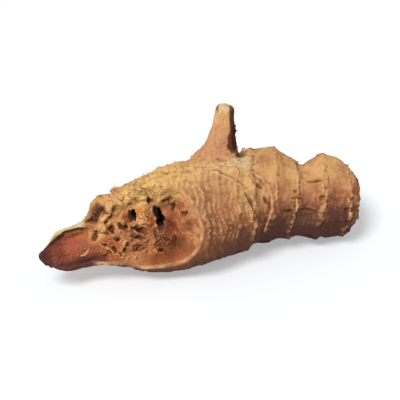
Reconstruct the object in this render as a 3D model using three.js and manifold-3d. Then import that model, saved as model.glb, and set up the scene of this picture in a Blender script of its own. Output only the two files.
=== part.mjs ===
/**
 * A dried galangal rhizome, lying on its side.
 *
 * The rhizome grew as one piece, so it is one solid: a thick internode that ends in a torn face,
 * a thinner internode behind it that ends in an old scar, the stump of a leafy shoot on top,
 * a strip of rind that the tear left behind, and the stumps of a few roots.
 *
 * Units are millimetres and +Z is up. +X runs from the torn end to the scarred end, and the origin
 * lies on the resting surface, under the middle of the rhizome's box.
 */
import * as THREE from "three";
import { mergeVertices } from "three/addons/utils/BufferGeometryUtils.js";
import Module from "manifold-3d";

const wasm = await Module();
wasm.setup();

// ---- Driving dimensions -------------------------------------------------------------------

const THICK_RADIUS = 8.2; // the internode beside the tear
const THIN_RADIUS = 6.8; // the internode beside the scar
const STRIP_RADIUS = 3.6; // the strip of rind left of the tear
const AXIS_HEIGHT = 8.3; // of the centre line above the surface, at the middle of the thick internode
const WORN_DEPTH = 0.45; // how much the undersides have been rubbed flat

const BODY_RINGS = 62; // steps of the surface along the rhizome
const BODY_SIDES = 40; // steps of the surface round it

// The centre line, from beyond the torn end to the scarred end. It sinks and swings sideways.
const centreLine = new THREE.CatmullRomCurve3([
  new THREE.Vector3(-31, -0.3, AXIS_HEIGHT - 1.0),
  new THREE.Vector3(-25.5, -0.4, AXIS_HEIGHT - 1.0),
  new THREE.Vector3(-20, -0.3, AXIS_HEIGHT - 0.5),
  new THREE.Vector3(-10, -0.3, AXIS_HEIGHT - 0.1),
  new THREE.Vector3(0, 0, AXIS_HEIGHT),
  new THREE.Vector3(9.7, -0.5, AXIS_HEIGHT - 0.5),
  new THREE.Vector3(17.2, -2.6, AXIS_HEIGHT - 1.3),
  new THREE.Vector3(24.6, -5.6, AXIS_HEIGHT - 2.0),
]);
const LINE_LENGTH = centreLine.getLength();

// The rhizome's girth: [distance along the centre line, radius], closed on the axis at both ends.
const BODY_GIRTH = [
  [12.4, 0],
  [12.7, 3.4],
  [14.2, 5.5],
  [16.4, 6.8],
  [19.4, 7.6],
  [23.0, 8.0],
  [28.4, THICK_RADIUS],
  [33.2, THICK_RADIUS - 0.1],
  [36.4, 7.5],
  [40.5, 7.1],
  [44.6, THIN_RADIUS],
  [48.6, THIN_RADIUS],
  [51.6, 6.5],
  [53.6, 5.7],
  [54.5, 4.9],
  [54.9, 3.9],
  [54.6, 2.0],
  [54.4, 0],
];

// The girth of the strip of rind, before the tear hollows it: [distance along the line, radius].
const STRIP_GIRTH = [
  [0.3, 0],
  [0.5, 1.0],
  [2.0, 2.0],
  [3.3, 2.8],
  [4.8, STRIP_RADIUS - 0.3],
  [7.0, STRIP_RADIUS - 0.1],
  [9.0, STRIP_RADIUS + 0.2],
  [11.4, STRIP_RADIUS + 1.0],
  [14.0, STRIP_RADIUS + 1.8],
  [17.0, STRIP_RADIUS + 2.2],
  [20.0, STRIP_RADIUS + 1.9],
  [21.5, 0],
];

// Node rings: where they cross the centre line, how far their collar stands out, and how far the
// ring slants forwards from its front to its back.
const NODE_RINGS = [
  { at: 22.2, height: 0.22, slant: 2.6 },
  { at: 25.0, height: 0.2, slant: 2.6 },
  { at: 28.0, height: 0.22, slant: 2.5 },
  { at: 30.9, height: 0.2, slant: 2.5 },
  { at: 33.6, height: 0.26, slant: 2.4 },
  { at: 36.4, height: 0.55, slant: 2.3 },
  { at: 40.5, height: 0.3, slant: 1.8 },
  { at: 44.2, height: 0.42, slant: 1.0 },
  { at: 48.9, height: 0.42, slant: 0.4 },
  { at: 53.2, height: 0.4, slant: 0.0 },
];
const COLLAR_RISE = 1.0; // length of a collar's gentle side
const COLLAR_DROP = 0.42; // length of its steep side
const CREASE_BEHIND = 0.6; // depth of the crease behind a collar, as a share of its height

// Swellings and dips: where they are along and round the rhizome, how far they reach both ways,
// and how far they stand out. Round is 0 degrees at the back, 90 on top and 180 at the front.
const SWELLINGS = [
  { at: 40.0, round: 66, along: 2.4, across: 4.2, height: 1.0 }, // knob before the notch
  { at: 45.1, round: 58, along: 1.7, across: 5.5, height: -2.3 }, // notch between the knobs
  { at: 49.2, round: 72, along: 2.4, across: 4.0, height: 0.6 }, // knob behind the notch
  { at: 54.0, round: 60, along: 1.8, across: 4.0, height: -1.6 }, // worn corner of the scarred end
  { at: 36.2, round: 120, along: 1.3, across: 9.0, height: -0.45 }, // waist between internodes
  { at: 31.5, round: -12, along: 3.2, across: 3.0, height: 1.5 }, // side bud at the back
  { at: 42.0, round: -30, along: 3.0, across: 3.4, height: 1.0 }, // side bud at the back
  { at: 24.5, round: 205, along: 3.4, across: 3.0, height: 0.5 }, // fullness below the front
];

// Drying furrows that run along the rhizome: how many go round it, how deep, and how they drift.
const FURROWS = [
  { count: 5, depth: 0.14, drift: 0.31, phase: 0.4 },
  { count: 9, depth: 0.1, drift: -0.22, phase: 1.9 },
  { count: 14, depth: 0.06, drift: 0.17, phase: 4.1 },
];

// Root stumps: where they stand on the rhizome, their radius and how far they stick out.
const ROOT_STUMPS = [
  { at: 25.5, round: 250, radius: 1.1, length: 0.5 },
  { at: 30.4, round: 300, radius: 1.3, length: 0.8 },
  { at: 34.4, round: 252, radius: 0.9, length: 0.4 },
  { at: 43.0, round: 305, radius: 1.2, length: 0.8 },
  { at: 51.2, round: 158, radius: 0.9, length: 0.4 },
  { at: 46.4, round: 350, radius: 1.0, length: 0.7 },
  { at: 27.6, round: 28, radius: 1.1, length: 0.7 },
  { at: 21.2, round: 318, radius: 1.0, length: 0.7 },
];

// The tear has a frame of its own: out of the torn face, along the rhizome, and across it.
const TEAR_CENTRE = new THREE.Vector3(-12, -1, AXIS_HEIGHT);
const TEAR_OUT = new THREE.Vector3(-0.45, -0.7, 0.55).normalize();
const TEAR_ACROSS = TEAR_OUT.clone().cross(new THREE.Vector3(1, 0, 0)).normalize();
const TEAR_ALONG = TEAR_ACROSS.clone().cross(TEAR_OUT);

// Its two flats: the steep one crosses the thick internode, the long one runs out along the strip.
const STEEP_FLAT = {
  through: new THREE.Vector3(-10.6, -0.7, AXIS_HEIGHT - 0.3),
  facing: new THREE.Vector3(-0.84, -0.5, 0.16).normalize(),
};
const LONG_FLAT = {
  through: new THREE.Vector3(-22.8, -0.6, AXIS_HEIGHT - 0.4),
  facing: new THREE.Vector3(-0.1, -0.8, 0.59).normalize(),
};

// Folds of the torn surface in the tear's frame: where they are, how far they reach both ways, how
// much they are turned and how far they stand out of the surface.
const TEAR_FOLDS = [
  { along: 1.4, across: -0.8, reach: [2.2, 2.8], turn: 0, height: -2.2 }, // the bowl
  { along: 2.6, across: 7.3, reach: [4.2, 1.3], turn: -6, height: 3.6 }, // the lip over the bowl
  { along: 1.6, across: -6.8, reach: [3.6, 0.8], turn: 6, height: 1.0 }, // the lip below the bowl
  { along: -12.2, across: 1.3, reach: [3.6, 0.6], turn: -4, height: -1.7 }, // groove inside the strip's edge
  { along: -12.6, across: -1.0, reach: [4.0, 1.4], turn: 6, height: -0.6 }, // hollow along the strip
  { along: -10.4, across: -3.1, reach: [2.2, 0.7], turn: 10, height: -1.3 }, // groove low on the strip
  { along: -0.4, across: 2.6, reach: [0.7, 1.7], turn: 0, height: 0.9 }, // the pillar between the slits
  { along: -3.0, across: 5.3, reach: [3.2, 0.8], turn: 40, height: 1.0 }, // the crest
  { along: -4.5, across: 2.9, reach: [1.1, 0.9], turn: 20, height: -1.1 }, // a pit below the crest
  { along: -2.8, across: 0.5, reach: [1.5, 0.6], turn: 60, height: 0.9 }, // a fold beside the bowl
  { along: -4.4, across: -2.4, reach: [0.8, 1.5], turn: 20, height: 0.9 }, // a fold above the lower lip
  { along: -2.0, across: -2.8, reach: [0.9, 0.8], turn: 0, height: -1.0 }, // a pit above the lower lip
  { along: 3.7, across: 2.4, reach: [0.8, 1.4], turn: 0, height: -0.6 }, // a dent under the rim
  { along: 2.0, across: -4.2, reach: [1.5, 0.6], turn: 10, height: -1.1 }, // a groove low in the bowl
];

// Deep holes in the torn surface, as ellipsoids whose first radius points out of the tear.
const TEAR_HOLES = [
  { along: 1.9, across: 1.6, out: -1.8, radii: [3.6, 0.7, 1.4] }, // the long slit
  { along: -2.2, across: 2.4, out: 0.2, radii: [2.6, 0.5, 1.15] }, // the short slit
  { along: -8.0, across: 0.9, out: 2.6, radii: [1.6, 0.5, 0.75] }, // the hole in the strip
];

// Tufts of fibre on the torn surface: where they stand, how they lean, and their size.
const TUFTS = [
  { along: -0.8, across: 7.0, out: 0.6, lean: -0.9, tilt: 0.9, radius: 0.55, length: 0.9 },
  { along: -2.6, across: 6.4, out: 1.4, lean: -1.1, tilt: 0.9, radius: 0.65, length: 1.1 },
  { along: -4.0, across: 5.4, out: 2.0, lean: -1.0, tilt: 0.8, radius: 0.6, length: 0.9 },
  { along: -5.2, across: 4.2, out: 2.5, lean: -0.9, tilt: 0.8, radius: 0.55, length: 0.8 },
  { along: -3.8, across: 1.8, out: 2.1, lean: 0.3, tilt: 0.3, radius: 0.5, length: 0.7 },
  { along: -5.4, across: -0.4, out: 2.8, lean: -0.3, tilt: 0.5, radius: 0.5, length: 0.7 },
  { along: -3.4, across: -3.8, out: 1.8, lean: 0.2, tilt: -0.5, radius: 0.5, length: 0.6 },
  { along: -7.0, across: -1.8, out: 3.3, lean: -0.5, tilt: 0.1, radius: 0.45, length: 0.6 },
];

// ---- Helpers ------------------------------------------------------------------------------

/** A closed three.js geometry as a solid that can be joined and cut. */
function solidOf(geometry) {
  const bare = geometry.index ? geometry.toNonIndexed() : geometry.clone();
  bare.deleteAttribute("normal");
  bare.deleteAttribute("uv");
  const merged = mergeVertices(bare, 1e-4);
  return new wasm.Manifold(
    new wasm.Mesh({
      numProp: 3,
      vertProperties: merged.attributes.position.array,
      triVerts: new Uint32Array(merged.index.array),
    }),
  );
}

/** A solid as a three.js geometry with smooth normals. */
function geometryOf(made) {
  const mesh = made.getMesh();
  const geometry = new THREE.BufferGeometry();
  geometry.setAttribute("position", new THREE.BufferAttribute(mesh.vertProperties, 3));
  geometry.setIndex(new THREE.BufferAttribute(mesh.triVerts, 1));
  geometry.computeVertexNormals();
  return geometry;
}

/** Moves every vertex of a geometry with move(point), in place. */
function shape(geometry, move) {
  const place = geometry.attributes.position;
  const point = new THREE.Vector3();
  for (let i = 0; i < place.count; i++) {
    point.fromBufferAttribute(place, i);
    move(point);
    place.setXYZ(i, point.x, point.y, point.z);
  }
  return geometry;
}

/** A smooth curve through [height, radius] pairs, with the radius along X and the height along Y. */
function profileThrough(pairs) {
  return new THREE.CatmullRomCurve3(
    pairs.map(([height, radius]) => new THREE.Vector3(radius, height, 0)),
    false,
    "centripetal",
  );
}

/** A lathe of a profile that starts and ends on the axis. */
function latheThrough(pairs, rings, sides) {
  const points = profileThrough(pairs).getSpacedPoints(rings);
  points[0].x = 0;
  points[rings].x = 0;
  return new THREE.LatheGeometry(points, sides);
}

/** The frame of a curve at a share of its length: its point and the directions back, up and along. */
function frameAt(curve, share) {
  const u = THREE.MathUtils.clamp(share, 0, 1);
  const along = curve.getTangentAt(u);
  const back = new THREE.Vector3(0, 0, 1).cross(along).normalize();
  const up = along.clone().cross(back);
  return { point: curve.getPointAt(u), back, up, along };
}

/** The point at a distance along the rhizome, an angle round it and a radius from its centre line. */
function onBody(at, angle, radius) {
  const { point, back, up, along } = frameAt(centreLine, at / LINE_LENGTH);
  const beyond = at - THREE.MathUtils.clamp(at, 0, LINE_LENGTH);
  return point
    .addScaledVector(back, Math.cos(angle) * radius)
    .addScaledVector(up, Math.sin(angle) * radius)
    .addScaledVector(along, beyond);
}

/** A smooth, repeatable lumpiness between about -1 and 1. */
function lumps(x, y, z) {
  return (
    (Math.sin(x + 2.1 * Math.sin(0.7 * y)) + Math.sin(1.3 * y + 1.7 * Math.sin(0.6 * z)) + Math.sin(1.1 * z + x)) / 3
  );
}

const radians = THREE.MathUtils.degToRad;

/** The signed difference of two angles, between -PI and PI. */
function turnBetween(a, b) {
  return Math.atan2(Math.sin(a - b), Math.cos(a - b));
}

// ---- The rhizome's own surface ------------------------------------------------------------

/** How far the collar of one node ring, and the crease behind it, move the surface. */
function collar(ring, at, angle) {
  const wave = 0.35 * Math.sin(3 * angle + ring.at) + 0.2 * Math.sin(7 * angle - 2 * ring.at);
  const past = at - (ring.at + ring.slant * Math.cos(angle) + wave);
  const rise = Math.exp(-((past / (past < 0 ? COLLAR_RISE : COLLAR_DROP)) ** 2));
  const crease = Math.exp(-(((past - 2 * COLLAR_DROP) / COLLAR_DROP) ** 2));
  return ring.height * (rise - CREASE_BEHIND * crease);
}

/** How far one swelling or dip moves the surface. */
function swelling(lump, at, angle, radius) {
  const along = (at - lump.at) / lump.along;
  const across = (turnBetween(angle, radians(lump.round)) * radius) / lump.across;
  return lump.height * Math.exp(-(along ** 2 + across ** 2) / 2);
}

/** How far one set of furrows moves the surface. */
function furrow(set, at, angle) {
  return set.depth * Math.sin(set.count * angle + set.phase + 2 * Math.sin(set.drift * at));
}

/** How far the whole relief stands out from the plain girth. */
function relief(at, angle, radius) {
  let height = 0;
  for (const ring of NODE_RINGS) height += collar(ring, at, angle);
  for (const lump of SWELLINGS) height += swelling(lump, at, angle, radius);
  for (const set of FURROWS) height += furrow(set, at, angle);
  return height;
}

function makeBody() {
  const girth = latheThrough(BODY_GIRTH, BODY_RINGS, BODY_SIDES);
  return solidOf(
    shape(girth, (p) => {
      const radius = Math.hypot(p.x, p.z);
      const angle = Math.atan2(-p.z, p.x);
      const share = THREE.MathUtils.smoothstep(radius, 1, 0.8 * STRIP_RADIUS + 1.5);
      p.copy(onBody(p.y, angle, radius + share * relief(p.y, angle, radius)));
    }),
  );
}

/** The plain radius of the rhizome at a distance along it. */
function girthAt(at) {
  return profileThrough(BODY_GIRTH).getPoints(400).find((point) => point.y >= at).x;
}

function makeRootStump({ at, round, radius, length }) {
  const ROOTED = 2.2; // how deep the stump starts inside the rhizome
  const angle = radians(round);
  const surface = girthAt(at);
  const foot = onBody(at, angle, surface - ROOTED);
  const tip = onBody(at, angle, surface + length);
  const stump = latheThrough(
    [
      [0, 0],
      [0.02, radius * 1.5],
      [ROOTED, radius * 1.35],
      [ROOTED + 0.5 * length, radius * 1.05],
      [ROOTED + length, radius],
      [ROOTED + length - 0.05, radius * 0.7],
      [ROOTED + length - 0.35, 0],
    ],
    8,
    10,
  );
  const turn = new THREE.Quaternion().setFromUnitVectors(
    new THREE.Vector3(0, 1, 0),
    tip.clone().sub(foot).normalize(),
  );
  stump.applyQuaternion(turn).translate(foot.x, foot.y, foot.z);
  return solidOf(stump);
}

// ---- The torn end -------------------------------------------------------------------------

/** The turn that brings the X and Y axes to two directions at right angles. */
function turnTo(first, second) {
  const basis = new THREE.Matrix4().makeBasis(first, second, first.clone().cross(second));
  return new THREE.Quaternion().setFromRotationMatrix(basis);
}

/** An ellipsoid with an uneven surface, its axes turned. */
function unevenBall(centre, radii, turn, unevenness, detail) {
  const ball = new THREE.SphereGeometry(1, detail, Math.round(detail * 0.7));
  shape(ball, (p) => {
    p.multiplyScalar(1 + unevenness * lumps(5 * p.x + centre.x, 5 * p.y + centre.y, 5 * p.z + centre.z));
    p.multiply(radii).applyQuaternion(turn).add(centre);
  });
  return solidOf(ball);
}

/** A point given in the tear's own frame: along the rhizome, across it, and out of the tear. */
function onTear(along, across, out) {
  return TEAR_CENTRE.clone()
    .addScaledVector(TEAR_ALONG, along)
    .addScaledVector(TEAR_ACROSS, across)
    .addScaledVector(TEAR_OUT, out);
}

/** How far out one flat of the tear lies above a place in the tear's frame. */
function flatHeight({ through, facing }, along, across) {
  return through.clone().sub(onTear(along, across, 0)).dot(facing) / TEAR_OUT.dot(facing);
}

/** How far out the torn surface lies: two flats that meet in a hollow, with folds and holes. */
function tearHeight(along, across) {
  const steep = flatHeight(STEEP_FLAT, along, across);
  const long = flatHeight(LONG_FLAT, along, across);
  let height = (steep + long + Math.hypot(steep - long, 1.2)) / 2;
  for (const fold of TEAR_FOLDS) {
    const [lengthways, sideways] = [along - fold.along, across - fold.across];
    const turn = radians(fold.turn);
    const u = (Math.cos(turn) * lengthways + Math.sin(turn) * sideways) / fold.reach[0];
    const v = (Math.cos(turn) * sideways - Math.sin(turn) * lengthways) / fold.reach[1];
    height += fold.height * Math.exp(-(u * u + v * v) / 2);
  }
  const spongy = Math.exp(-(((along + 3.4) / 3.6) ** 2));
  return height + (0.12 + 0.4 * spongy) * lumps(2.3 * along, 2.1 * across, along - across);
}

/** Everything that was torn away. */
function makeTornAway() {
  const [LENGTH, WIDTH, DEPTH] = [36, 26, 30];
  const block = new THREE.BoxGeometry(LENGTH, WIDTH, DEPTH, 50, 36, 1);
  shape(block, (p) => {
    const along = p.x - 4;
    p.copy(onTear(along, p.y, p.z < 0 ? tearHeight(along, p.y) : DEPTH));
  });
  return solidOf(block);
}

/** The strip of rind that stayed on beyond the tear, still whole. */
function makeStrip() {
  const girth = latheThrough(STRIP_GIRTH, 26, 26);
  return solidOf(
    shape(girth, (p) => {
      const angle = Math.atan2(-p.z, p.x);
      const radius = Math.hypot(p.x, p.z);
      const ragged = 0.16 * Math.sin(5 * angle + 0.9 * p.y) + 0.12 * Math.sin(9 * angle - 1.3 * p.y);
      p.copy(onBody(p.y, angle, radius + Math.min(1, radius / 2) * ragged));
    }),
  );
}

/** The deep, narrow holes in the torn face. */
function makeTearHoles() {
  const turn = turnTo(TEAR_OUT, TEAR_ALONG);
  return TEAR_HOLES.map(({ along, across, out, radii }) =>
    unevenBall(onTear(along, across, out), new THREE.Vector3(...radii), turn, 0.12, 12),
  );
}

/** Tufts of fibre that stand out along the crest and the rim of the tear. */
function makeTufts() {
  return TUFTS.map(({ along, across, out, lean, tilt, radius, length }) => {
    const ROOTED = 1.6; // how deep a tuft starts below the torn surface
    const tuft = new THREE.CylinderGeometry(radius * 0.55, radius, length + ROOTED, 6);
    tuft.translate(0, (length + ROOTED) / 2 - ROOTED, 0);
    const way = TEAR_OUT.clone()
      .addScaledVector(TEAR_ALONG, lean)
      .addScaledVector(TEAR_ACROSS, tilt)
      .normalize();
    tuft.applyQuaternion(new THREE.Quaternion().setFromUnitVectors(new THREE.Vector3(0, 1, 0), way));
    const foot = onTear(along, across, out);
    return solidOf(tuft.translate(foot.x, foot.y, foot.z));
  });
}

/** The lobe of rind that curls up behind the crest. */
function makeLobe() {
  const upright = new THREE.Vector3(0.35, 0.3, 0.85).normalize();
  return unevenBall(
    new THREE.Vector3(-18.8, 3.0, AXIS_HEIGHT + 1.8),
    new THREE.Vector3(3.3, 2.1, 2.3),
    new THREE.Quaternion().setFromUnitVectors(new THREE.Vector3(1, 0, 0), upright),
    0.08,
    14,
  );
}

// ---- The shoot ----------------------------------------------------------------------------

/** The stump of the leafy shoot: a curled sheath, open along its right-hand front. */
function makeShoot() {
  const stem = new THREE.CatmullRomCurve3([
    new THREE.Vector3(0.6, 2.2, AXIS_HEIGHT + 4.6),
    new THREE.Vector3(0.8, 2.5, AXIS_HEIGHT + 7.6),
    new THREE.Vector3(1.9, 2.9, AXIS_HEIGHT + 9.6),
    new THREE.Vector3(2.7, 3.4, AXIS_HEIGHT + 12.0),
    new THREE.Vector3(3.0, 3.8, AXIS_HEIGHT + 14.2),
    new THREE.Vector3(3.2, 4.1, AXIS_HEIGHT + 16.0),
  ]);
  const height = stem.getLength();
  const DEPTH_SHARE = 0.66; // front to back against side to side
  const girth = latheThrough(
    [
      [0, 0],
      [0.02, 4.9],
      [1.6, 4.9],
      [3.1, 4.4],
      [4.3, 3.6],
      [5.4, 3.0],
      [7.8, 2.45],
      [9.8, 2.0],
      [height - 0.25, 1.6],
      [height, 1.1],
      [height - 0.3, 0],
    ],
    26,
    22,
  );
  const sheath = solidOf(
    shape(girth, (p) => {
      const { point } = frameAt(stem, p.y / height);
      const angle = Math.atan2(-p.z, p.x);
      const radius = Math.hypot(p.x, p.z);
      const share = Math.min(1, radius);
      const ribs = share * 0.1 * Math.sin(9 * angle + 0.4 * p.y);
      const tip = -share * 0.3 * THREE.MathUtils.smoothstep(p.y, height - 1, height) * Math.cos(angle);
      p.set(
        point.x + (radius + ribs) * Math.cos(angle),
        point.y + (radius + ribs) * Math.sin(angle) * DEPTH_SHARE,
        point.z + tip,
      );
    }),
  );
  const upright = new THREE.Vector3(0.12, 0.16, 1).normalize();
  const groove = unevenBall(
    new THREE.Vector3(4.75, 1.9, AXIS_HEIGHT + 12.2),
    new THREE.Vector3(6.8, 1.35, 1.35),
    new THREE.Quaternion().setFromUnitVectors(new THREE.Vector3(1, 0, 0), upright),
    0.04,
    16,
  );
  return sheath.subtract(groove);
}

// ---- The whole rhizome --------------------------------------------------------------------

/** Everything below the resting surface. */
function makeGround() {
  const SIZE = 120;
  const ground = new THREE.BoxGeometry(SIZE, SIZE, SIZE);
  ground.translate(0, 0, -SIZE / 2);
  return solidOf(ground);
}

function makeRhizome() {
  let made = makeBody().add(makeStrip()).subtract(makeTornAway());
  for (const tuft of makeTufts()) made = made.add(tuft);
  for (const hole of makeTearHoles()) made = made.subtract(hole);
  made = made.add(makeLobe()).add(makeShoot());
  for (const stump of ROOT_STUMPS) made = made.add(makeRootStump(stump));

  // Rub the undersides flat, then centre the box over the origin.
  const lowest = made.boundingBox().min[2];
  made = made.translate([0, 0, -lowest - WORN_DEPTH]).subtract(makeGround());
  const { min, max } = made.boundingBox();
  return made.translate([-(min[0] + max[0]) / 2, -(min[1] + max[1]) / 2, -min[2]]);
}

const rind = new THREE.MeshStandardMaterial({
  name: "rind",
  color: new THREE.Color().setRGB(0.66, 0.43, 0.28, THREE.SRGBColorSpace),
  roughness: 0.85,
  metalness: 0,
});

const rhizome = new THREE.Mesh(geometryOf(makeRhizome()), rind);
rhizome.name = "galangal_rhizome";

const galangal = new THREE.Group();
galangal.name = "dried_galangal_rhizome";
galangal.add(rhizome);

export default galangal;
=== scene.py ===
# %% [markdown]
# # A dried galangal rhizome
#
# Galangal is a relative of ginger. Its rhizome, a stem that grows underground, is dug up, cut or
# snapped into finger-long pieces and dried until it is as hard as wood. Drying wrinkles the rind
# lengthwise. Every node of the stem keeps the ragged ring of a leaf that has fallen off, and where
# the rhizome was torn, its flesh is left spongy and full of fibres.
#
# The solid holds the big shapes. This lesson takes a copy of it, gives it an even skin of small
# faces, carves the fine relief into that skin, and then adds the fibres, the scraps of old leaves
# and the colours.

import bpy
import numpy as np
from mathutils import Matrix, Vector, noise
from mathutils.bvhtree import BVHTree


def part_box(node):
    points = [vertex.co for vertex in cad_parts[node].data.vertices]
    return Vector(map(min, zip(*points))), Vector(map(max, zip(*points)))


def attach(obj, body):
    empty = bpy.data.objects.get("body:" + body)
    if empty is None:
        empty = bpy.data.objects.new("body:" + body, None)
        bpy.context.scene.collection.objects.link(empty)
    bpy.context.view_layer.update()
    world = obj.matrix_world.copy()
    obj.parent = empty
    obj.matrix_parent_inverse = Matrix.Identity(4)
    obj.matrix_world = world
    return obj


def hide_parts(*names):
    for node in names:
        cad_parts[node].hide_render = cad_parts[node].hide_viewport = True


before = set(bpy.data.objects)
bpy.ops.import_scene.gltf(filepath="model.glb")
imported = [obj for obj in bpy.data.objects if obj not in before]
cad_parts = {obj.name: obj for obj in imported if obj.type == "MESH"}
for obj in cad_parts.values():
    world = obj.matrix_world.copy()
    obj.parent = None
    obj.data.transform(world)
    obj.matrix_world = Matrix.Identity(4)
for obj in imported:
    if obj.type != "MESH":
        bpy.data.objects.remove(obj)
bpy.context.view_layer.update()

NODE = "galangal_rhizome"
MM = 0.001
LOW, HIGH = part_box(NODE)
print("the solid measures", [round((b - a) / MM, 1) for a, b in zip(LOW, HIGH)], "mm")

# %% [markdown]
# ## Small helpers
#
# An operator acts on whatever is selected, so one helper makes sure that only one object is. The
# others answer the questions that come back all the time: how far a value has come between two
# limits, and what a colour given as it is seen is in the linear light that shaders count in.

# %% Helpers
def select_only(thing):
    """Makes one object the only selected one, and the active one."""
    bpy.ops.object.select_all(action="DESELECT")
    thing.select_set(True)
    bpy.context.view_layer.objects.active = thing


def apply_modifier(thing, name):
    """Applies one modifier of an object."""
    select_only(thing)
    bpy.ops.object.modifier_apply(modifier=name)


def ease(low, high, value):
    """0 below low, 1 above high, and a smooth step between them."""
    share = np.clip((value - low) / (high - low), 0, 1)
    return share * share * (3 - 2 * share)


def paint(red, green, blue):
    """A colour given as it is seen, 0 to 255, in linear light."""
    seen = np.array([red, green, blue]) / 255
    linear = np.where(seen <= 0.04045, seen / 12.92, ((seen + 0.055) / 1.055) ** 2.4)
    return (*linear, 1.0)


print("mid grey, seen as 128, is", round(float(paint(128, 128, 128)[0]), 3), "in linear light")

# %% [markdown]
# ## Materials as formulas
#
# A shader is a little formula. It could be put together from nodes one by one, but then the formula
# can't be read any more. Written with a class that stands for a wire between two nodes, it can:
# adding or multiplying two wires puts in the Math node that does it. Colours are mixed with Mix
# nodes, because a Math node would turn them grey.

# %% Wires
class Wire:
    """The end of a wire in a material. Arithmetic on wires adds Math nodes."""

    def __init__(self, tree, socket=None):
        self.tree = tree
        self.socket = socket

    def node(self, kind, settings, sockets, out=0):
        """Adds any node: its settings first, then the values or wires of its sockets."""
        made = self.tree.nodes.new(kind)
        for name, value in settings.items():
            setattr(made, name, value)
        for name, value in sockets.items():
            if isinstance(value, Wire):
                self.tree.links.new(value.socket, made.inputs[name])
            else:
                made.inputs[name].default_value = value
        return Wire(self.tree, made.outputs[out])

    def math(self, operation, first, second):
        """One Math node."""
        return self.node("ShaderNodeMath", {"operation": operation}, {0: first, 1: second})

    def __add__(self, other):
        return self.math("ADD", self, other)

    def __radd__(self, other):
        return self.math("ADD", other, self)

    def __sub__(self, other):
        return self.math("SUBTRACT", self, other)

    def __rsub__(self, other):
        return self.math("SUBTRACT", other, self)

    def __mul__(self, other):
        return self.math("MULTIPLY", self, other)

    def __rmul__(self, other):
        return self.math("MULTIPLY", other, self)

    def between(self, low, high):
        """0 where the wire is below low, 1 where it is above high, and smooth between."""
        settings = {"interpolation_type": "SMOOTHSTEP"}
        sockets = {"Value": self, "From Min": low, "From Max": high}
        return self.node("ShaderNodeMapRange", settings, sockets)

    def mix(self, share, first, second, blend="MIX"):
        """A colour between two others, or one laid over the other in another way."""
        settings = {"data_type": "RGBA", "blend_type": blend}
        return self.node("ShaderNodeMix", settings, {0: share, 6: first, 7: second}, out=2)

    def stored(self, name, out="Fac"):
        """A number kept on the mesh, or with out set a vector or a colour."""
        return self.node("ShaderNodeAttribute", {"attribute_name": name}, {}, out=out)

    def noise(self, place, scale, detail, roughness):
        """Smooth noise between 0 and 1."""
        sockets = {"Vector": place, "Scale": scale, "Detail": detail, "Roughness": roughness}
        return self.node("ShaderNodeTexNoise", {}, sockets, out="Fac")

    def squeezed(self, place, factors):
        """A place with its axes scaled."""
        return self.node("ShaderNodeVectorMath", {"operation": "MULTIPLY"}, {0: place, 1: factors})

    def seen_by_camera(self):
        """1 for what the camera sees directly, 0 for what lights or reflects."""
        return self.node("ShaderNodeLightPath", {}, {}, out="Is Camera Ray")

    def plug_into(self, shader, name):
        """Leads the wire into a socket of a shader."""
        self.tree.links.new(self.socket, shader.inputs[name])


def new_material(name):
    """A material with a Principled shader, and a wire to start from."""
    material = bpy.data.materials.new(name)
    material.use_nodes = True
    return material, Wire(material.node_tree), material.node_tree.nodes["Principled BSDF"]


print("wires can be added, subtracted, multiplied and mixed")

# %% [markdown]
# ## The camera, the floor and the light
#
# The rhizome is looked down on from its front, a little from the torn end, through a long lens, as
# small things are in a catalogue. A long lens keeps the two ends at the same scale.

# %% Camera
AZIMUTH = np.radians(-24)
ELEVATION = np.radians(35)
LENS = 120
SENSOR = 36
FRAME_WIDTH = 64 * MM
TARGET = Vector((-0.3 * MM, -0.6 * MM, 10.6 * MM))
NEAREST_SEEN = 0.01
FURTHEST_SEEN = 20

towards_camera = Vector((
    np.sin(AZIMUTH) * np.cos(ELEVATION),
    -np.cos(AZIMUTH) * np.cos(ELEVATION),
    np.sin(ELEVATION),
))
distance = FRAME_WIDTH * LENS / SENSOR

bpy.ops.object.camera_add(location=TARGET + distance * towards_camera)
camera = bpy.context.object
camera.rotation_euler = towards_camera.to_track_quat("Z", "Y").to_euler()
camera.data.lens = LENS
camera.data.sensor_width = SENSOR
camera.data.clip_start = NEAREST_SEEN
camera.data.clip_end = FURTHEST_SEEN
bpy.context.scene.camera = camera
print("the camera is", round(distance / MM), "mm away")

# %% [markdown]
# The floor is white. More light would make it so, but it would bleach the rhizome too. So the floor
# is a pale grey that gives off a little light, which only the camera sees.

# %% Floor
FLOOR_SIZE = 6
FLOOR_LIFT = 0.36

bpy.ops.mesh.primitive_plane_add(size=FLOOR_SIZE)
floor = bpy.context.object
floor.name = "floor"
floor_paint, wire, shader = new_material("white_floor")
shader.inputs["Base Color"].default_value = paint(216, 219, 222)
shader.inputs["Roughness"].default_value = 0.9
shader.inputs["Emission Color"].default_value = (1, 1, 1, 1)
(wire.seen_by_camera() * FLOOR_LIFT).plug_into(shader, "Emission Strength")
floor.data.materials.append(floor_paint)
print("the floor is", FLOOR_SIZE, "m wide")

# %% [markdown]
# One lamp above the torn end models the rings and wrinkles, and the even light of the sky keeps the
# shadows soft. An area lamp would leave the far floor darker than the near one. The lamp is a wide
# sun instead, so that the floor is lit alike from end to end. The camera sees a white sky, while
# the rhizome gets a dimmer one.

# %% Lamp and sky
LAMP_FROM = Vector((-0.46, -0.28, 0.84))
LAMP_WIDTH = np.radians(22)
LAMP_LEVEL = 0.70
SKY_LEVEL = 0.36

bpy.ops.object.light_add(type="SUN")
lamp = bpy.context.object
lamp.rotation_euler = LAMP_FROM.to_track_quat("Z", "Y").to_euler()
lamp.data.angle = LAMP_WIDTH
lamp.data.energy = LAMP_LEVEL * np.pi

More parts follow.
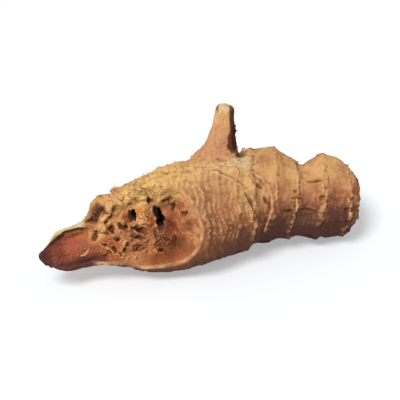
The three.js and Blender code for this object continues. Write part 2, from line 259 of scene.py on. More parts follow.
world = bpy.data.worlds.new("even_sky")
bpy.context.scene.world = world
world.use_nodes = True
sky = world.node_tree.nodes["Background"]
sky.inputs["Color"].default_value = (1, 1, 1, 1)
seen = Wire(world.node_tree).seen_by_camera()
((1 - seen) * SKY_LEVEL + seen).plug_into(sky, "Strength")
bpy.context.scene.view_settings.view_transform = "Standard"
print("lamp and sky light a level surface to", round(LAMP_LEVEL * LAMP_FROM.z + SKY_LEVEL, 2))

# %% [markdown]
# ## Coordinates that follow the rhizome
#
# Wrinkles, rings and streaks run along or around the stem, and the stem bends. So every point is
# also given a place in a straightened rhizome: how far along the centre line it lies, which way
# round, and how far out. The centre line is the solid's own, in millimetres.

# %% The centre line
CENTRE_LINE = np.array([
    (-28.2, -0.1, 7.1),
    (-22.7, -0.2, 7.1),
    (-17.2, -0.1, 7.6),
    (-7.2, -0.1, 8.0),
    (2.8, 0.2, 8.1),
    (12.5, -0.3, 7.6),
    (20.0, -2.4, 6.8),
    (27.4, -5.4, 6.1),
])
STEPS = 24
CHUNK = 20000


def smooth_line(points):
    """A fine polyline through a few points, rounded as a Catmull-Rom spline."""
    padded = np.vstack([2 * points[0] - points[1], points, 2 * points[-1] - points[-2]])
    t = np.linspace(0, 1, STEPS, endpoint=False)[:, None]
    stretches = []
    for a, b, c, d in zip(padded, padded[1:], padded[2:], padded[3:]):
        bend = (c - a) * t + (2 * a - 5 * b + 4 * c - d) * t**2 + (3 * b - a - 3 * c + d) * t**3
        stretches.append(b + bend / 2)
    return np.vstack([*stretches, points[-1:]])


line = smooth_line(CENTRE_LINE)
line_steps = np.linalg.norm(np.diff(line, axis=0), axis=1)
line_at = np.concatenate([[0], np.cumsum(line_steps)])
line_way = np.gradient(line, axis=0)
line_way /= np.linalg.norm(line_way, axis=1, keepdims=True)
line_back = np.cross((0, 0, 1), line_way)
line_back /= np.linalg.norm(line_back, axis=1, keepdims=True)
line_up = np.cross(line_way, line_back)
print("the centre line is", round(line_at[-1], 1), "mm long")


def straighten(points):
    """Along, angle and radius of points: 0 degrees is the back, 90 the top and 180 the front."""
    nearest = np.empty(len(points), int)
    for start in range(0, len(points), CHUNK):
        part = points[start:start + CHUNK]
        gaps = ((part[:, None] - line[None]) ** 2).sum(axis=2)
        nearest[start:start + CHUNK] = gaps.argmin(axis=1)
    offset = points - line[nearest]
    along = line_at[nearest] + (offset * line_way[nearest]).sum(axis=1)
    back = (offset * line_back[nearest]).sum(axis=1)
    up = (offset * line_up[nearest]).sum(axis=1)
    return along, np.arctan2(up, back), np.hypot(back, up)


# %% [markdown]
# ## Where things are on the rhizome
#
# The carving and the colours both need to know what they are on: rind, torn flesh, the shoot, or
# the ring of an old leaf. The solid's own measures say where each of them is.

# %% Girth, rings, tear and shoot
# The girth that the whole rhizome would have: millimetres along the centre line, and out from it.
GIRTH = np.array([
    (0.0, 0.0),
    (0.5, 1.0),
    (2.0, 2.0),
    (3.3, 2.8),
    (4.8, 3.3),
    (7.0, 3.5),
    (9.0, 3.8),
    (11.4, 4.6),
    (14.0, 5.5),
    (16.4, 6.8),
    (19.4, 7.6),
    (23.0, 8.0),
    (28.4, 8.2),
    (33.2, 8.1),
    (36.4, 7.5),
    (40.5, 7.1),
    (44.6, 6.8),
    (51.6, 6.5),
    (56.0, 6.5),
])

# Leaf rings: where each crosses the centre line, how far it leans forwards at the back, how high
# its ragged collar stands, and how far round the front (degrees) it is still whole.
RINGS = np.array([
    (22.2, 2.6, 0.06, 190),
    (25.0, 2.6, 0.06, 205),
    (28.0, 2.5, 0.08, 185),
    (30.9, 2.5, 0.08, 220),
    (33.6, 2.4, 0.12, 195),
    (36.4, 2.3, 0.26, 200),
    (40.5, 1.8, 0.10, 180),
    (44.2, 1.0, 0.26, 228),
    (48.9, 0.4, 0.28, 186),
    (53.2, 0.0, 0.26, 240),
])

# The tear's own frame: its centre, and the directions out of it, across it and along it.
TEAR_CENTRE = np.array((-9.24, -0.82, 8.12))
TEAR_OUT = np.array((-0.451, -0.702, 0.551))
TEAR_ACROSS = np.cross(TEAR_OUT, (1, 0, 0))
TEAR_ACROSS /= np.linalg.norm(TEAR_ACROSS)
TEAR_ALONG = np.cross(TEAR_ACROSS, TEAR_OUT)

# The deep holes in the tear: their place along and across it, their half width and height, how
# black they are inside, and how far their walls have swollen inwards.
SLITS = (
    (1.60, 2.0, 0.52, 1.10, 1.0, 0.0),
    (-2.25, 2.4, 0.36, 1.10, 0.6, 0.16),
    (-8.1, 0.8, 0.40, 0.60, 0.0, 0.0),
)

# The middle of the leafy shoot, from below the rind to its tip, and its half width.
STEM = np.array([
    (3.4, 2.4, 12.7),
    (3.6, 2.7, 15.7),
    (4.7, 3.1, 17.7),
    (5.5, 3.6, 20.1),
    (5.8, 4.0, 22.3),
    (6.0, 4.3, 24.2),
])
STEM_WIDTH = (5.4, 4.9, 3.9, 3.1, 2.6, 2.2)
STEM_DEPTH_SHARE = 0.72

print(len(RINGS), "leaf rings and", len(SLITS), "deep holes are placed")


# %% Masks that need only places
def depth_below_rind(points):
    """How far points lie inside the girth of the whole rhizome, and how far along it they are."""
    along, angle, radius = straighten(points)
    return np.interp(along, GIRTH[:, 0], GIRTH[:, 1]) - radius, along


def shoot_mask(points):
    """1 on the shoot and 0 on the rind around it, and how high up the shoot each point is."""
    foot, tip = STEM[0], STEM[-1]
    way = (tip - foot) / np.linalg.norm(tip - foot)
    height = (points - foot) @ way
    middle_x = np.interp(points[:, 2], STEM[:, 2], STEM[:, 0])
    middle_y = np.interp(points[:, 2], STEM[:, 2], STEM[:, 1])
    width = np.interp(points[:, 2], STEM[:, 2], STEM_WIDTH)
    aside = np.hypot(points[:, 0] - middle_x, (points[:, 1] - middle_y) / STEM_DEPTH_SHARE) / width
    above = ease(15.4, 16.8, points[:, 2] + 0.25 * (points[:, 1] - 3))
    return above * ease(1.35, 1.1, aside), height


def torn_mask(points):
    """1 on torn flesh, 0 on rind and shoot."""
    depth, along = depth_below_rind(points)
    return ease(0.4, 1.0, depth) * ease(27.5, 26.0, along) * (1 - shoot_mask(points)[0])


print("a point on the centre line lies", round(float(depth_below_rind(line[150:151])[0][0]), 1), "mm deep")

# %% [markdown]
# ## An even skin
#
# The solid is made of long, thin triangles that meet at visible edges, and subdividing them would
# only give more of the same. A voxel remesh rebuilds the shape from small, even quads instead, and
# a few rounds of smoothing take the edges of the old triangles away. The faces are about a quarter
# of a millimetre wide: small enough for wrinkles. The torn flesh needs finer ones, so the faces
# there are subdivided once more.

# %% Copy the solid and remesh it
VOXEL = 0.23 * MM

rhizome = bpy.data.objects.new("rhizome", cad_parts[NODE].data.copy())
bpy.context.scene.collection.objects.link(rhizome)
rhizome.data.materials.clear()
select_only(rhizome)
bpy.ops.object.mode_set(mode="EDIT")
bpy.ops.mesh.select_all(action="SELECT")
bpy.ops.mesh.remove_doubles(threshold=0.001 * MM)
bpy.ops.object.mode_set(mode="OBJECT")

even = rhizome.modifiers.new("even_skin", "REMESH")
even.mode = "VOXEL"
even.voxel_size = VOXEL
apply_modifier(rhizome, "even_skin")
print("the skin has", len(rhizome.data.polygons), "faces")


# %% [markdown]
# The skin could be read and written one vertex at a time. Whole arrays of numbers are much quicker.
# Everything that follows counts in millimetres.

# %% Read and write the skin
def read_points(mesh):
    """The vertices of a mesh, in millimetres."""
    flat = np.empty(len(mesh.vertices) * 3)
    mesh.vertices.foreach_get("co", flat)
    return flat.reshape(-1, 3) / MM


def write_points(mesh, points):
    """Sets the vertices of a mesh from millimetres."""
    mesh.vertices.foreach_set("co", (points * MM).ravel())
    mesh.update()


def read_normals(mesh):
    """The normals of a mesh's vertices."""
    flat = np.empty(len(mesh.vertices) * 3)
    mesh.vertices.foreach_get("normal", flat)
    return flat.reshape(-1, 3)


def read_edges(mesh):
    """The two vertices of every edge of a mesh."""
    flat = np.empty(len(mesh.edges) * 2, int)
    mesh.edges.foreach_get("vertices", flat)
    return flat.reshape(-1, 2)


print("its top is at", round(float(read_points(rhizome.data)[:, 2].max()), 1), "mm")

# %% Finer faces on the torn flesh
torn_corners = torn_mask(read_points(rhizome.data)) > 0.3
select_only(rhizome)
bpy.ops.object.mode_set(mode="EDIT")
bpy.ops.mesh.select_mode(type="VERT")
bpy.ops.mesh.select_all(action="DESELECT")
bpy.ops.object.mode_set(mode="OBJECT")
rhizome.data.vertices.foreach_set("select", torn_corners)
bpy.ops.object.mode_set(mode="EDIT")
bpy.ops.mesh.select_mode(type="FACE")
bpy.ops.mesh.subdivide(number_cuts=1)
bpy.ops.object.mode_set(mode="OBJECT")
print("with finer torn flesh it has", len(rhizome.data.polygons), "faces")

edges = read_edges(rhizome.data)
neighbours = np.bincount(edges.ravel(), minlength=len(rhizome.data.vertices))


def blur(values, rounds, share=0.5):
    """Values on the skin's vertices, averaged with their neighbours again and again."""
    columns = values if values.ndim == 2 else values[:, None]
    for _ in range(rounds):
        total = np.empty_like(columns)
        for k in range(columns.shape[1]):
            column = columns[:, k]
            to_first = np.bincount(edges[:, 0], column[edges[:, 1]], len(column))
            to_second = np.bincount(edges[:, 1], column[edges[:, 0]], len(column))
            total[:, k] = to_first + to_second
        columns = (1 - share) * columns + share * total / neighbours[:, None]
    return columns if values.ndim == 2 else columns[:, 0]


# %% Smooth the skin, but keep the tear and the shoot crisp
SMOOTH_ROUNDS = 14

points = read_points(rhizome.data)
free = 1 - np.clip(0.75 * torn_mask(points) + 0.6 * shoot_mask(points)[0], 0, 0.8)
for _ in range(SMOOTH_ROUNDS):
    points = points + free[:, None] * (blur(points, 1) - points)
write_points(rhizome.data, points)
print(round(100 * float((free > 0.99).mean())), "% of the vertices are smoothed in full")

# %% [markdown]
# ## Noise and masks
#
# Noise makes the carving and the colours irregular. Blender has noise textures too, but what they
# give can't be read back in a script, and here the same noise has to carve and to paint. So it is
# worked out for every vertex. For whatever runs lengthwise it is read at straightened places that
# are squeezed in that direction, which stretches it.

# %% Noise, pits and lines
# The noise is made on a square lattice. Turned askew, it leaves no straight edges along the stem.
LATTICE_TURN = np.array(Matrix.Rotation(0.9, 3, Vector((0.5, 0.7, 0.51))))


def cloud(places, size, seed, squeeze=(1, 1, 1)):
    """Smooth noise between about -1 and 1 at each place, with lumps about size millimetres wide."""
    spots = (places * np.array(squeeze) / size) @ LATTICE_TURN + seed * 17.3
    return np.array([noise.noise(spot) for spot in spots]) * 1.6


def creases(places, size, seed, squeeze=(1, 1, 1)):
    """Noise with sharp valleys: 0 in the valleys, up to about 1 on the broad ridges."""
    return np.minimum(np.abs(cloud(places, size, seed, squeeze)) * 1.7, 1)


def pit_reach(u, v, pit):
    """How far each place is from a pit's middle: 1 on its edge. Pits are ellipses, turned."""
    middle_u, middle_v, half_length, half_width, turn = pit[:5]
    c, s = np.cos(np.radians(turn)), np.sin(np.radians(turn))
    du, dv = u - middle_u, v - middle_v
    return np.hypot((c * du + s * dv) / half_length, (c * dv - s * du) / half_width)


def blob(u, v, middle_u, middle_v, reach):
    """1 in the middle of a soft round patch, 0 outside it."""
    return ease(1.0, 0.2, np.hypot(u - middle_u, v - middle_v) / reach)


def hump(value, middle, width):
    """1 where the value is at the middle, falling off softly on both sides."""
    return np.exp(-(((value - middle) / width) ** 2))


def line_gap(u, v, stops):
    """The distance of each place from a line through a few stops, below zero on its left."""
    nearest = np.full(len(u), 99.0)
    for (u0, v0), (u1, v1) in zip(stops, stops[1:]):
        du, dv = u1 - u0, v1 - v0
        share = np.clip(((u - u0) * du + (v - v0) * dv) / (du * du + dv * dv), 0, 1)
        gap = np.hypot(u - u0 - share * du, v - v0 - share * dv)
        side = np.where(du * (v - v0) - dv * (u - u0) > 0, -1, 1)
        nearest = np.where(gap < np.abs(nearest), gap * side, nearest)
    return nearest


print("two points a lump apart differ by", np.ptp(cloud(np.array([(0, 0, 0), (1, 0, 0)]), 1, 1)).round(2))

# %% [markdown]
# A mask is a number between 0 and 1 for every vertex of the skin: 1 where something is, 0 where it
# isn't. Vertex groups painted by hand would do the same work. Masks worked out from the straightened
# coordinates and the tear's own frame can be changed by changing a number.

# %% Masks of the rind, the torn flesh and the shoot
normals = read_normals(rhizome.data)
along, angle, radius = straighten(points)
degrees = np.degrees(angle) % 360
shoot, shoot_height = shoot_mask(points)
depth, _ = depth_below_rind(points)
# Behind, the rind has come off in flakes, so the edge of the torn flesh wanders there.
flaked = ease(-0.1, 0.4, np.cos(angle)) * ease(12.5, 14.5, along) * ease(27.5, 25.5, along) * (1 - shoot)
depth += flaked * (0.55 * cloud(points, 1.6, 41) + 0.30 * cloud(points, 0.55, 42))
torn = ease(0.4, 1.0, depth) * ease(27.5, 26.0, along) * (1 - shoot)
rind = (1 - torn) * (1 - shoot)
facing_up = 0.5 * blur(normals[:, 2], 200) + 0.5 * np.sin(angle)
straight = np.stack([along, radius * np.cos(angle), radius * np.sin(angle)], axis=1)

print("torn flesh covers", round(100 * float(torn.mean()), 1), "% of the vertices")

# %% Masks inside the tear
place = points - TEAR_CENTRE
tear_along = place @ TEAR_ALONG
tear_across = place @ TEAR_ACROSS
tear_out = place @ TEAR_OUT

slit = np.zeros(len(points))
black = np.zeros(len(points))
swollen = np.zeros(len(points))
for at, across, wide, tall, blackness, swelling in SLITS:
    reach = np.hypot((tear_along - at) / wide, (tear_across - across) / tall)
    slit = np.maximum(slit, torn * ease(1.2, 0.8, reach))
    black = np.maximum(black, torn * ease(1.15, 0.8, reach) * blackness)
    swollen = np.maximum(swollen, torn * ease(1.5, 1.1, reach) * swelling)

near_tear = ease(27.5, 25.5, along) * (1 - shoot) * ease(-4.2, -2.4, tear_out)
flaked *= near_tear
rim = ease(0.05, 0.30, depth) * ease(0.9, 0.45, depth) * near_tear
on_strip = ease(-8.5, -10.0, tear_along)
trough = torn * ease(-8.2, -10.2, tear_along + 0.5 * tear_across)
calm = np.maximum(trough, torn * ease(-4.0, -5.2, tear_across + 0.1 * tear_along))
cup = torn * ease(0.8, 2.4, tear_along) * ease(4.2, 3.2, tear_across + 0.2 * tear_along)
crumbling = torn * (1 - 0.85 * calm) * (1 - 0.55 * cup)
crest = near_tear * ease(-1.2, 0.4, depth) * ease(3.6, 5.6, tear_across - 0.1 * tear_along)
crest *= ease(-10, -7, tear_along) * (1 - slit)
towards_tear = blur(normals, 8) @ TEAR_OUT
behind = ease(0.05, -0.35, towards_tear) * ease(14.5, 12.0, along)
print("the deep holes take", round(100 * float(slit.sum() / torn.sum()), 1), "% of the torn flesh")

# %% [markdown]
# ## The fine relief
#
# A bump map alone could shade such detail, but the outline would stay as smooth as a pebble's. So
# the skin is carved: each vertex moves along its normal, by a height in millimetres that several
# masks and noises add up to. It is carved where it belongs:
#
# - the rind has shallow wrinkles that run along it, and fine growth rings about a millimetre
#   apart, which the wrinkles break up into rows of beads;
# - the collars of old leaves stand up as thin, ragged edges;
# - the torn flesh is a sponge: long pits between soft ridges, where bundles of fibres pulled out;
# - the shoot has fine ribs along it, as a leaf sheath has.

# %% The rind's relief
LENGTHWISE = (0.15, 1, 1)
RING_PITCH = 0.95
BEAD_PITCH = 0.85
DEGREES_PER_MM = 7
# On the small last swelling a millimetre is more degrees. Its top is worn round by handling.
KNOB_AT, KNOB_ROUND, KNOB_REACH = 49.0, 62, 2.6
KNOB_DEGREES_PER_MM = 9
KNOB_WEAR = 0.50


def ragged_edge(past):
    """The profile of an old leaf's edge: a slow rise up to it, then a sharp drop."""
    return np.where(past < 0, ease(-0.7, -0.05, past), ease(0.25, 0.02, past))


wander = 0.40 * cloud(straight, 3.0, 1, (0.4, 1, 1)) + 0.16 * cloud(straight, 0.9, 2, (0.3, 1, 1))
lean = np.interp(along, RINGS[:, 0], RINGS[:, 1])
ring_place = along - lean * np.cos(angle) + wander

ragged = np.clip(0.45 + 0.9 * cloud(straight, 0.45, 3, (0.5, 1, 1)) + 0.5 * cloud(straight, 2.2, 4), 0, 1.3)
collar = np.zeros(len(points))
crease = np.zeros(len(points))
whole_to = np.interp(ring_place, RINGS[:, 0], RINGS[:, 3])
worn = 0.5 * ease(whole_to - 6, whole_to + 10, degrees) * ease(330, 300, degrees)
knob = blob(along, (degrees - KNOB_ROUND) / KNOB_DEGREES_PER_MM, KNOB_AT, 0, KNOB_REACH)
worn = np.maximum(worn, 0.8 * knob)
for at, _, height, _ in RINGS:
    past = ring_place - at
    collar = np.maximum(collar, height * ragged_edge(past) * (1 - worn))
    crease = np.maximum(crease, height * ease(0.1, 0.3, past) * ease(0.8, 0.4, past))

phase = (ring_place + 0.35 * cloud(straight, 2.0, 5, (1, 0.5, 0.5))) / RING_PITCH % 1
growth = ease(0.05, 0.5, phase) * ease(0.98, 0.7, phase)
round_place = radius * angle + 0.8 * cloud(straight, 1.3, 6) + 0.5 * cloud(points, 0.5, 29)
bead = 0.5 + 0.5 * np.sin(2 * np.pi * round_place / BEAD_PITCH)
bead = growth * np.clip(0.05 + 0.85 * bead + 0.7 * cloud(straight, 0.8, 7), 0, 1)
bead_share = 0.25 + (0.30 + 0.45 * ease(-0.5, 0.5, cloud(straight, 3.5, 18))) * ease(37.5, 34.5, along)
bead_share = np.maximum(bead_share, 0.9 * ease(22.5, 24.0, along) * ease(29.5, 27.5, along))
bead_share *= 1 - 0.45 * ease(172, 186, degrees) * ease(320, 290, degrees)
bead_share *= 1 - 0.45 * blob(along, (degrees - 138) / DEGREES_PER_MM, 30.5, 0, 4.5)
wrinkles = creases(straight, 1.5, 8, LENGTHWISE)
small_wrinkles = creases(straight, 0.6, 9, (0.2, 1, 1))
lumps = cloud(points, 1.1, 10)

relief = rind * (
    0.12 * (wrinkles - 0.5)
    + 0.06 * (small_wrinkles - 0.5)
    + 0.19 * bead * bead_share
    + 0.09 * lumps
    + collar * (0.2 + ragged)
    - 0.7 * crease * ragged
    - KNOB_WEAR * knob
)
print("collars stand up to", round(float((collar * (0.2 + ragged)).max()), 2), "mm high")

# %% [markdown]
# The far end is where the rhizome stopped growing. A dried bud sits in its middle, inside the ragged
# rings of the last few leaves, and the skin has shrunk into wrinkles that run in towards it. The
# straightened coordinates run together there, so the end face gets its own: how far from the bud's
# middle, and which way.

# %% The bud at the far end
# The bud's middle, towards the back and up, and the radius and height of each ring around it.
BUD_BACK, BUD_UP = 0.3, 0.9
BUD_RINGS = ((1.9, 0.20), (3.2, 0.16), (4.8, 0.22))
BUD_GROOVE = 1.65

from_bud = np.stack([straight[:, 1] - BUD_BACK, straight[:, 2] - BUD_UP], axis=1)
bud_distance = np.linalg.norm(from_bud, axis=1)
bud_way = from_bud / np.maximum(bud_distance, 0.01)[:, None]
bud_places = np.column_stack([2.6 * bud_way, 0.22 * bud_distance])
end_face = ease(53.4, 54.2, along) * ease(6.2, 5.4, radius)
bud_gap = bud_distance + 0.22 * cloud(points, 1.6, 44) + 0.10 * cloud(points, 0.5, 32)
bud_wrinkles = creases(bud_places, 0.9, 33)
end_collar = np.zeros(len(points))
for ring_radius, height in BUD_RINGS:
    end_collar = np.maximum(end_collar, height * ragged_edge(ring_radius - bud_gap))
end_collar *= end_face
bud = end_face * ease(1.5, 0.7, bud_gap)
relief += end_collar * (0.3 + ragged)
relief += end_face * 0.22 * (bud_wrinkles - 0.5) * ease(0.8, 1.6, bud_gap)
relief += bud * (0.35 + 0.12 * (bud_wrinkles - 0.5))
relief -= 0.20 * end_face * hump(bud_gap, BUD_GROOVE, 0.26)
print("the bud is", round(2 * BUD_GROOVE, 1), "mm wide")

# %% [markdown]
# The scars are listed by how far along and how far round they are: strokes where the rind has
# split behind the main leaf ring, pits where a root has dropped off, and sunken dry spots. Each is
# an ellipse in the straightened coordinates, so that it bends with the rind.

# %% Scars on the rind
# Along (mm), round (degrees), half length, half width, turn (degrees), depth.
SCARS = (
    (34.3, 152, 2.5, 0.36, 66, 0.55),
    (35.0, 168, 1.2, 0.22, 74, 0.35),
    (36.4, 130, 0.72, 0.36, 50, 0.40),
    (37.1, 149, 0.78, 0.30, 70, 0.38),
    (37.8, 157, 0.70, 0.25, 75, 0.30),
    (41.9, 167, 1.30, 0.38, 5, 0.25),
    (43.0, 141, 0.40, 0.32, 0, 0.35),
    (45.8, 166, 1.60, 0.30, 4, 0.22),
    (46.8, 124, 1.30, 0.28, 0, 0.30),
    (43.4, 150, 1.50, 0.20, 2, 0.15),
    (48.1, 148, 0.55, 0.50, 60, 0.28),
    (53.0, 166, 0.75, 0.60, 30, 0.40),
    (53.1, 184, 0.55, 0.40, 50, 0.30),
    (51.6, 187, 0.70, 0.50, 20, 0.25),
    (24.0, 20, 0.90, 0.35, 70, 0.30),
    (39.0, 60, 0.80, 0.40, 10, 0.30),
    (47.0, 20, 0.70, 0.50, 40, 0.30),
    (31.0, 330, 0.90, 0.60, 20, 0.30),
    (38.5, 250, 1.10, 0.40, 10, 0.30),
    (49.5, 290, 0.80, 0.60, 50, 0.30),
    (27.2, 207, 0.60, 0.50, 30, 0.35),
    (32.6, 222, 0.65, 0.50, 60, 0.35),
    (42.4, 206, 0.50, 0.42, 10, 0.30),
    (47.3, 217, 0.60, 0.48, 40, 0.35),
    (25.6, 250, 0.70, 0.50, 20, 0.35),
    (30.4, 276, 0.55, 0.50, 70, 0.35),
    (36.9, 300, 0.65, 0.55, 10, 0.35),
    (44.6, 262, 0.60, 0.45, 50, 0.35),
    (40.8, 336, 0.55, 0.45, 30, 0.30),
    (51.2, 238, 0.60, 0.50, 0, 0.35),
)

scar = np.zeros(len(points))
for pit in SCARS:
    at, around, *_, pit_depth = pit
    side = (degrees - around + 180) % 360 - 180
    reach = pit_reach(along + 0.3 * wander, np.radians(side) * radius, (at, 0, *pit[2:5]))
    relief -= rind * pit_depth * ease(1.2, 0.3, reach)
    relief += rind * 0.25 * pit_depth * hump(reach, 1.5, 0.35)
    scar = np.maximum(scar, ease(1.25, 0.6, reach))
scar *= rind
print(len(SCARS), "scars are cut into the rind")

# %% [markdown]
# The torn end is the most telling part. Beside and above the first deep hole the flesh swells into a
# wall and a roof, which give the hole its depth. Random pits alone would look like any sponge, so the
# long pits are placed one by one, along and across the tear, and smaller ones are sown between them.

# %% The wall and the roof of the first hole
WALL_BESIDE_HOLE = 1.3

first_along, first_across, *_ = SLITS[0]
wall_place = blob(tear_along, tear_across, first_along + WALL_BESIDE_HOLE, first_across, 1.8)
wall = torn * ease(-0.4, -1.4, tear_out) * wall_place
roof = torn * blob(tear_along, tear_across, 3.0, 4.6, 2.3)
relief += 0.6 * wall + 0.7 * roof + swollen + 0.14 * rim * cloud(points, 0.5, 40)
relief -= 0.22 * flaked * ease(0.05, 0.35, depth) * ease(2.0, 1.0, depth)
print("wall and roof swell by up to", round(float((0.6 * wall + 0.7 * roof).max()), 2), "mm")

# %% Pits in the torn flesh
# Along, across, half length, half width (mm), turn (degrees), depth (mm).
PITS = (
    (1.6, 0.1, 0.90, 0.50, -100, 0.90),
    (-3.8, 1.1, 0.90, 0.42, -45, 0.85),
    (-1.4, -0.1, 1.00, 0.42, -41, 0.75),
    (-5.5, 1.0, 0.80, 0.38, -70, 0.75),
    (1.3, 4.1, 0.55, 0.42, -90, 0.60),
    (4.6, 2.1, 0.70, 0.42, -119, 0.55),
    (6.1, 0.6, 0.65, 0.32, 20, 0.40),
    (3.8, 3.5, 0.85, 0.42, -9, 0.45),
    (6.0, -1.5, 0.90, 0.70, -13, 0.22),
    (2.9, -3.4, 1.00, 0.45, -114, 0.50),
    (2.0, -2.8, 0.55, 0.32, -35, 0.40),
    (1.2, -4.5, 1.00, 0.32, -36, 0.45),
    (-2.0, -1.1, 0.75, 0.36, -35, 0.45),
    (-3.7, -1.8, 0.38, 0.30, -108, 0.50),
    (-4.1, -2.6, 0.42, 0.36, -105, 0.50),
    (-4.9, -0.7, 0.60, 0.32, 0, 0.45),
    (-5.7, -2.2, 0.50, 0.38, -87, 0.45),
    (0.5, -1.2, 0.70, 0.32, -104, 0.40),
    (-4.0, 4.0, 0.85, 0.34, 35, 0.60),
    (-5.0, 3.3, 0.50, 0.34, 50, 0.45),
    (-5.9, 2.4, 0.60, 0.34, 62, 0.40),
    (-1.8, 4.3, 0.50, 0.34, 10, 0.40),
    (-2.9, 5.3, 0.45, 0.30, 20, 0.22),
    (0.2, 5.3, 0.70, 0.24, 10, 0.20),
    (-2.4, -2.8, 0.70, 0.45, -20, 0.35),
    (-7.6, -2.9, 0.60, 0.36, 0, 0.40),
    (-8.2, 0.8, 0.70, 0.45, -120, 0.60),
    (-7.0, -1.0, 0.50, 0.30, -30, 0.40),
)
SMALL_PITS = 24
SEED = 12

random = np.random.default_rng(SEED)
small_pits = [
    (
        random.uniform(-8.5, 7.5),
        random.uniform(-4.8, 6.5),
        random.uniform(0.22, 0.55),
        random.uniform(0.14, 0.28),
        random.uniform(-130, 40),
        random.uniform(0.15, 0.40),
    )
    for _ in range(SMALL_PITS)
]

warp_u = 0.22 * cloud(points, 0.9, 11)
warp_v = 0.22 * cloud(points, 0.9, 12)
pit_floor = np.zeros(len(points))
pit_edge = np.zeros(len(points))
for pit in (*PITS, *small_pits):
    reach = pit_reach(tear_along + warp_u, tear_across + warp_v, pit)
    share = torn * (1 - slit) * (1 - 0.8 * calm) * (1 - 0.6 * crest)
    relief -= share * pit[5] * ease(1.35, 0.25, reach)
    relief += share * 0.20 * pit[5] * hump(reach, 1.6, 0.35)
    strength = min(1, pit[5] / 0.45)
    pit_floor = np.maximum(pit_floor, share * strength * ease(1.15, 0.55, reach))
    pit_edge = np.maximum(pit_edge, share * strength * ease(1.75, 1.0, reach))
print(len(PITS) + SMALL_PITS, "pits are cut into the torn flesh")

# %% The ridge, the strands and the crest
LEFT_RIDGE = (
    (-7.4, 0.6), (-6.7, 1.8), (-6.3, 3.0), (-5.3, 4.2), (-4.3, 5.1), (-3.3, 5.9), (-3.9, 6.6),
)

ridge_gap = np.abs(line_gap(tear_along + warp_u, tear_across + warp_v, LEFT_RIDGE))
left_ridge = ease(0.85, 0.25, ridge_gap) * near_tear * (1 - pit_floor)
strands = creases(points, 0.75, 13, (0.5, 1, 1))
relief += left_ridge * (0.50 + 0.20 * strands)
relief += torn * (1 - slit) * (
    crumbling * (0.24 * cloud(points, 1.6, 14) + 0.18 * (strands - 0.5))
    + 0.07 * cloud(points, 0.35, 16)
    + calm * 0.16 * (creases(straight, 0.8, 17, LENGTHWISE) - 0.5)
)
relief += crest * (0.18 + 0.20 * cloud(points, 0.9, 19) + 0.20 * (creases(points, 0.45, 20) - 0.4))
print("the ridge runs through", len(LEFT_RIDGE), "points")

# %% [markdown]
# Two things are left at the tear: a dark fold just inside the thin edge of the strip, and the hollow
# face of the torn lobe behind it. The fold is a line through a few stops, and the lobe and its
# hollow are soft ellipsoids: the vertices inside them are carved.

# %% The strip's fold and the lobe's hollow
STRIP_FOLD = ((-16.6, 0.6), (-14.1, 1.5), (-12.1, 2.4), (-10.4, 2.3), (-9.0, 2.1))
LOBE_MIDDLE = (-16.0, 3.2, 10.0)
LOBE_SIZE = (3.6, 2.6, 2.8)
HOLLOW_MIDDLE = (-17.0, 1.6, 11.2)
HOLLOW_SIZE = (2.2, 2.1, 1.5)

fold_gap = line_gap(tear_along + 0.5 * warp_u, tear_across + 0.5 * warp_v, STRIP_FOLD)
fold = ease(0.45, 0.12, np.abs(fold_gap)) * near_tear * on_strip
above_fold = ease(-0.10, -0.35, fold_gap) * near_tear * on_strip * (1 - behind)
relief -= 0.30 * fold
lobe = ease(1.15, 0.85, np.linalg.norm((points - LOBE_MIDDLE) / LOBE_SIZE, axis=1)) * rind
hollow_reach = np.linalg.norm((points - HOLLOW_MIDDLE) / HOLLOW_SIZE, axis=1) + 0.5 * warp_u
lobe_hollow = ease(1.15, 0.70, hollow_reach) * (1 - trough) * (1 - left_ridge)
relief -= 0.7 * lobe_hollow
relief += lobe * 0.18 * cloud(points, 1.1, 28)
leathery = creases(straight, 0.9, 34, (0.22, 1, 1)) - 0.45
relief += np.maximum(behind, 0.6 * lobe) * (0.22 * leathery + 0.12 * cloud(straight, 0.6, 35, (0.3, 1, 1)))
print("the lobe takes up", round(100 * float((lobe > 0.5).mean()), 1), "% of the vertices")

# %% [markdown]
# The foot of the shoot is wrapped by what is left of its lowest leaf: thin, pale, frayed edges that
# lie one behind the other across the top of the rhizome. Sheets modelled apart would float or sink
# into the rind, so each edge is a low step in the skin, along a line through a few stops.

# %% The frayed foot of the shoot
BODY_RADIUS = 8.2
NOTCH_AT, NOTCH_ROUND, NOTCH_REACH = 35.6, 71, 1.9
# Each edge runs through points given as along (mm) and round (degrees).
FRAYED_EDGES = (
    ((27.9, 75), (31.0, 85), (33.8, 93), (34.7, 101), (36.0, 111), (37.0, 121), (37.7, 131),
     (38.1, 145), (37.8, 161), (37.1, 175), (36.8, 193)),
    ((27.7, 86), (30.0, 92), (32.2, 98), (34.0, 103), (35.6, 108)),
    ((34.5, 98), (36.0, 97), (37.3, 95)),
    ((34.9, 150), (34.3, 141), (33.7, 133), (32.4, 122), (31.3, 112), (29.8, 102)),
)


def unroll(around):
    """Millimetres round the body for an angle in degrees."""
    return np.radians(around) * BODY_RADIUS


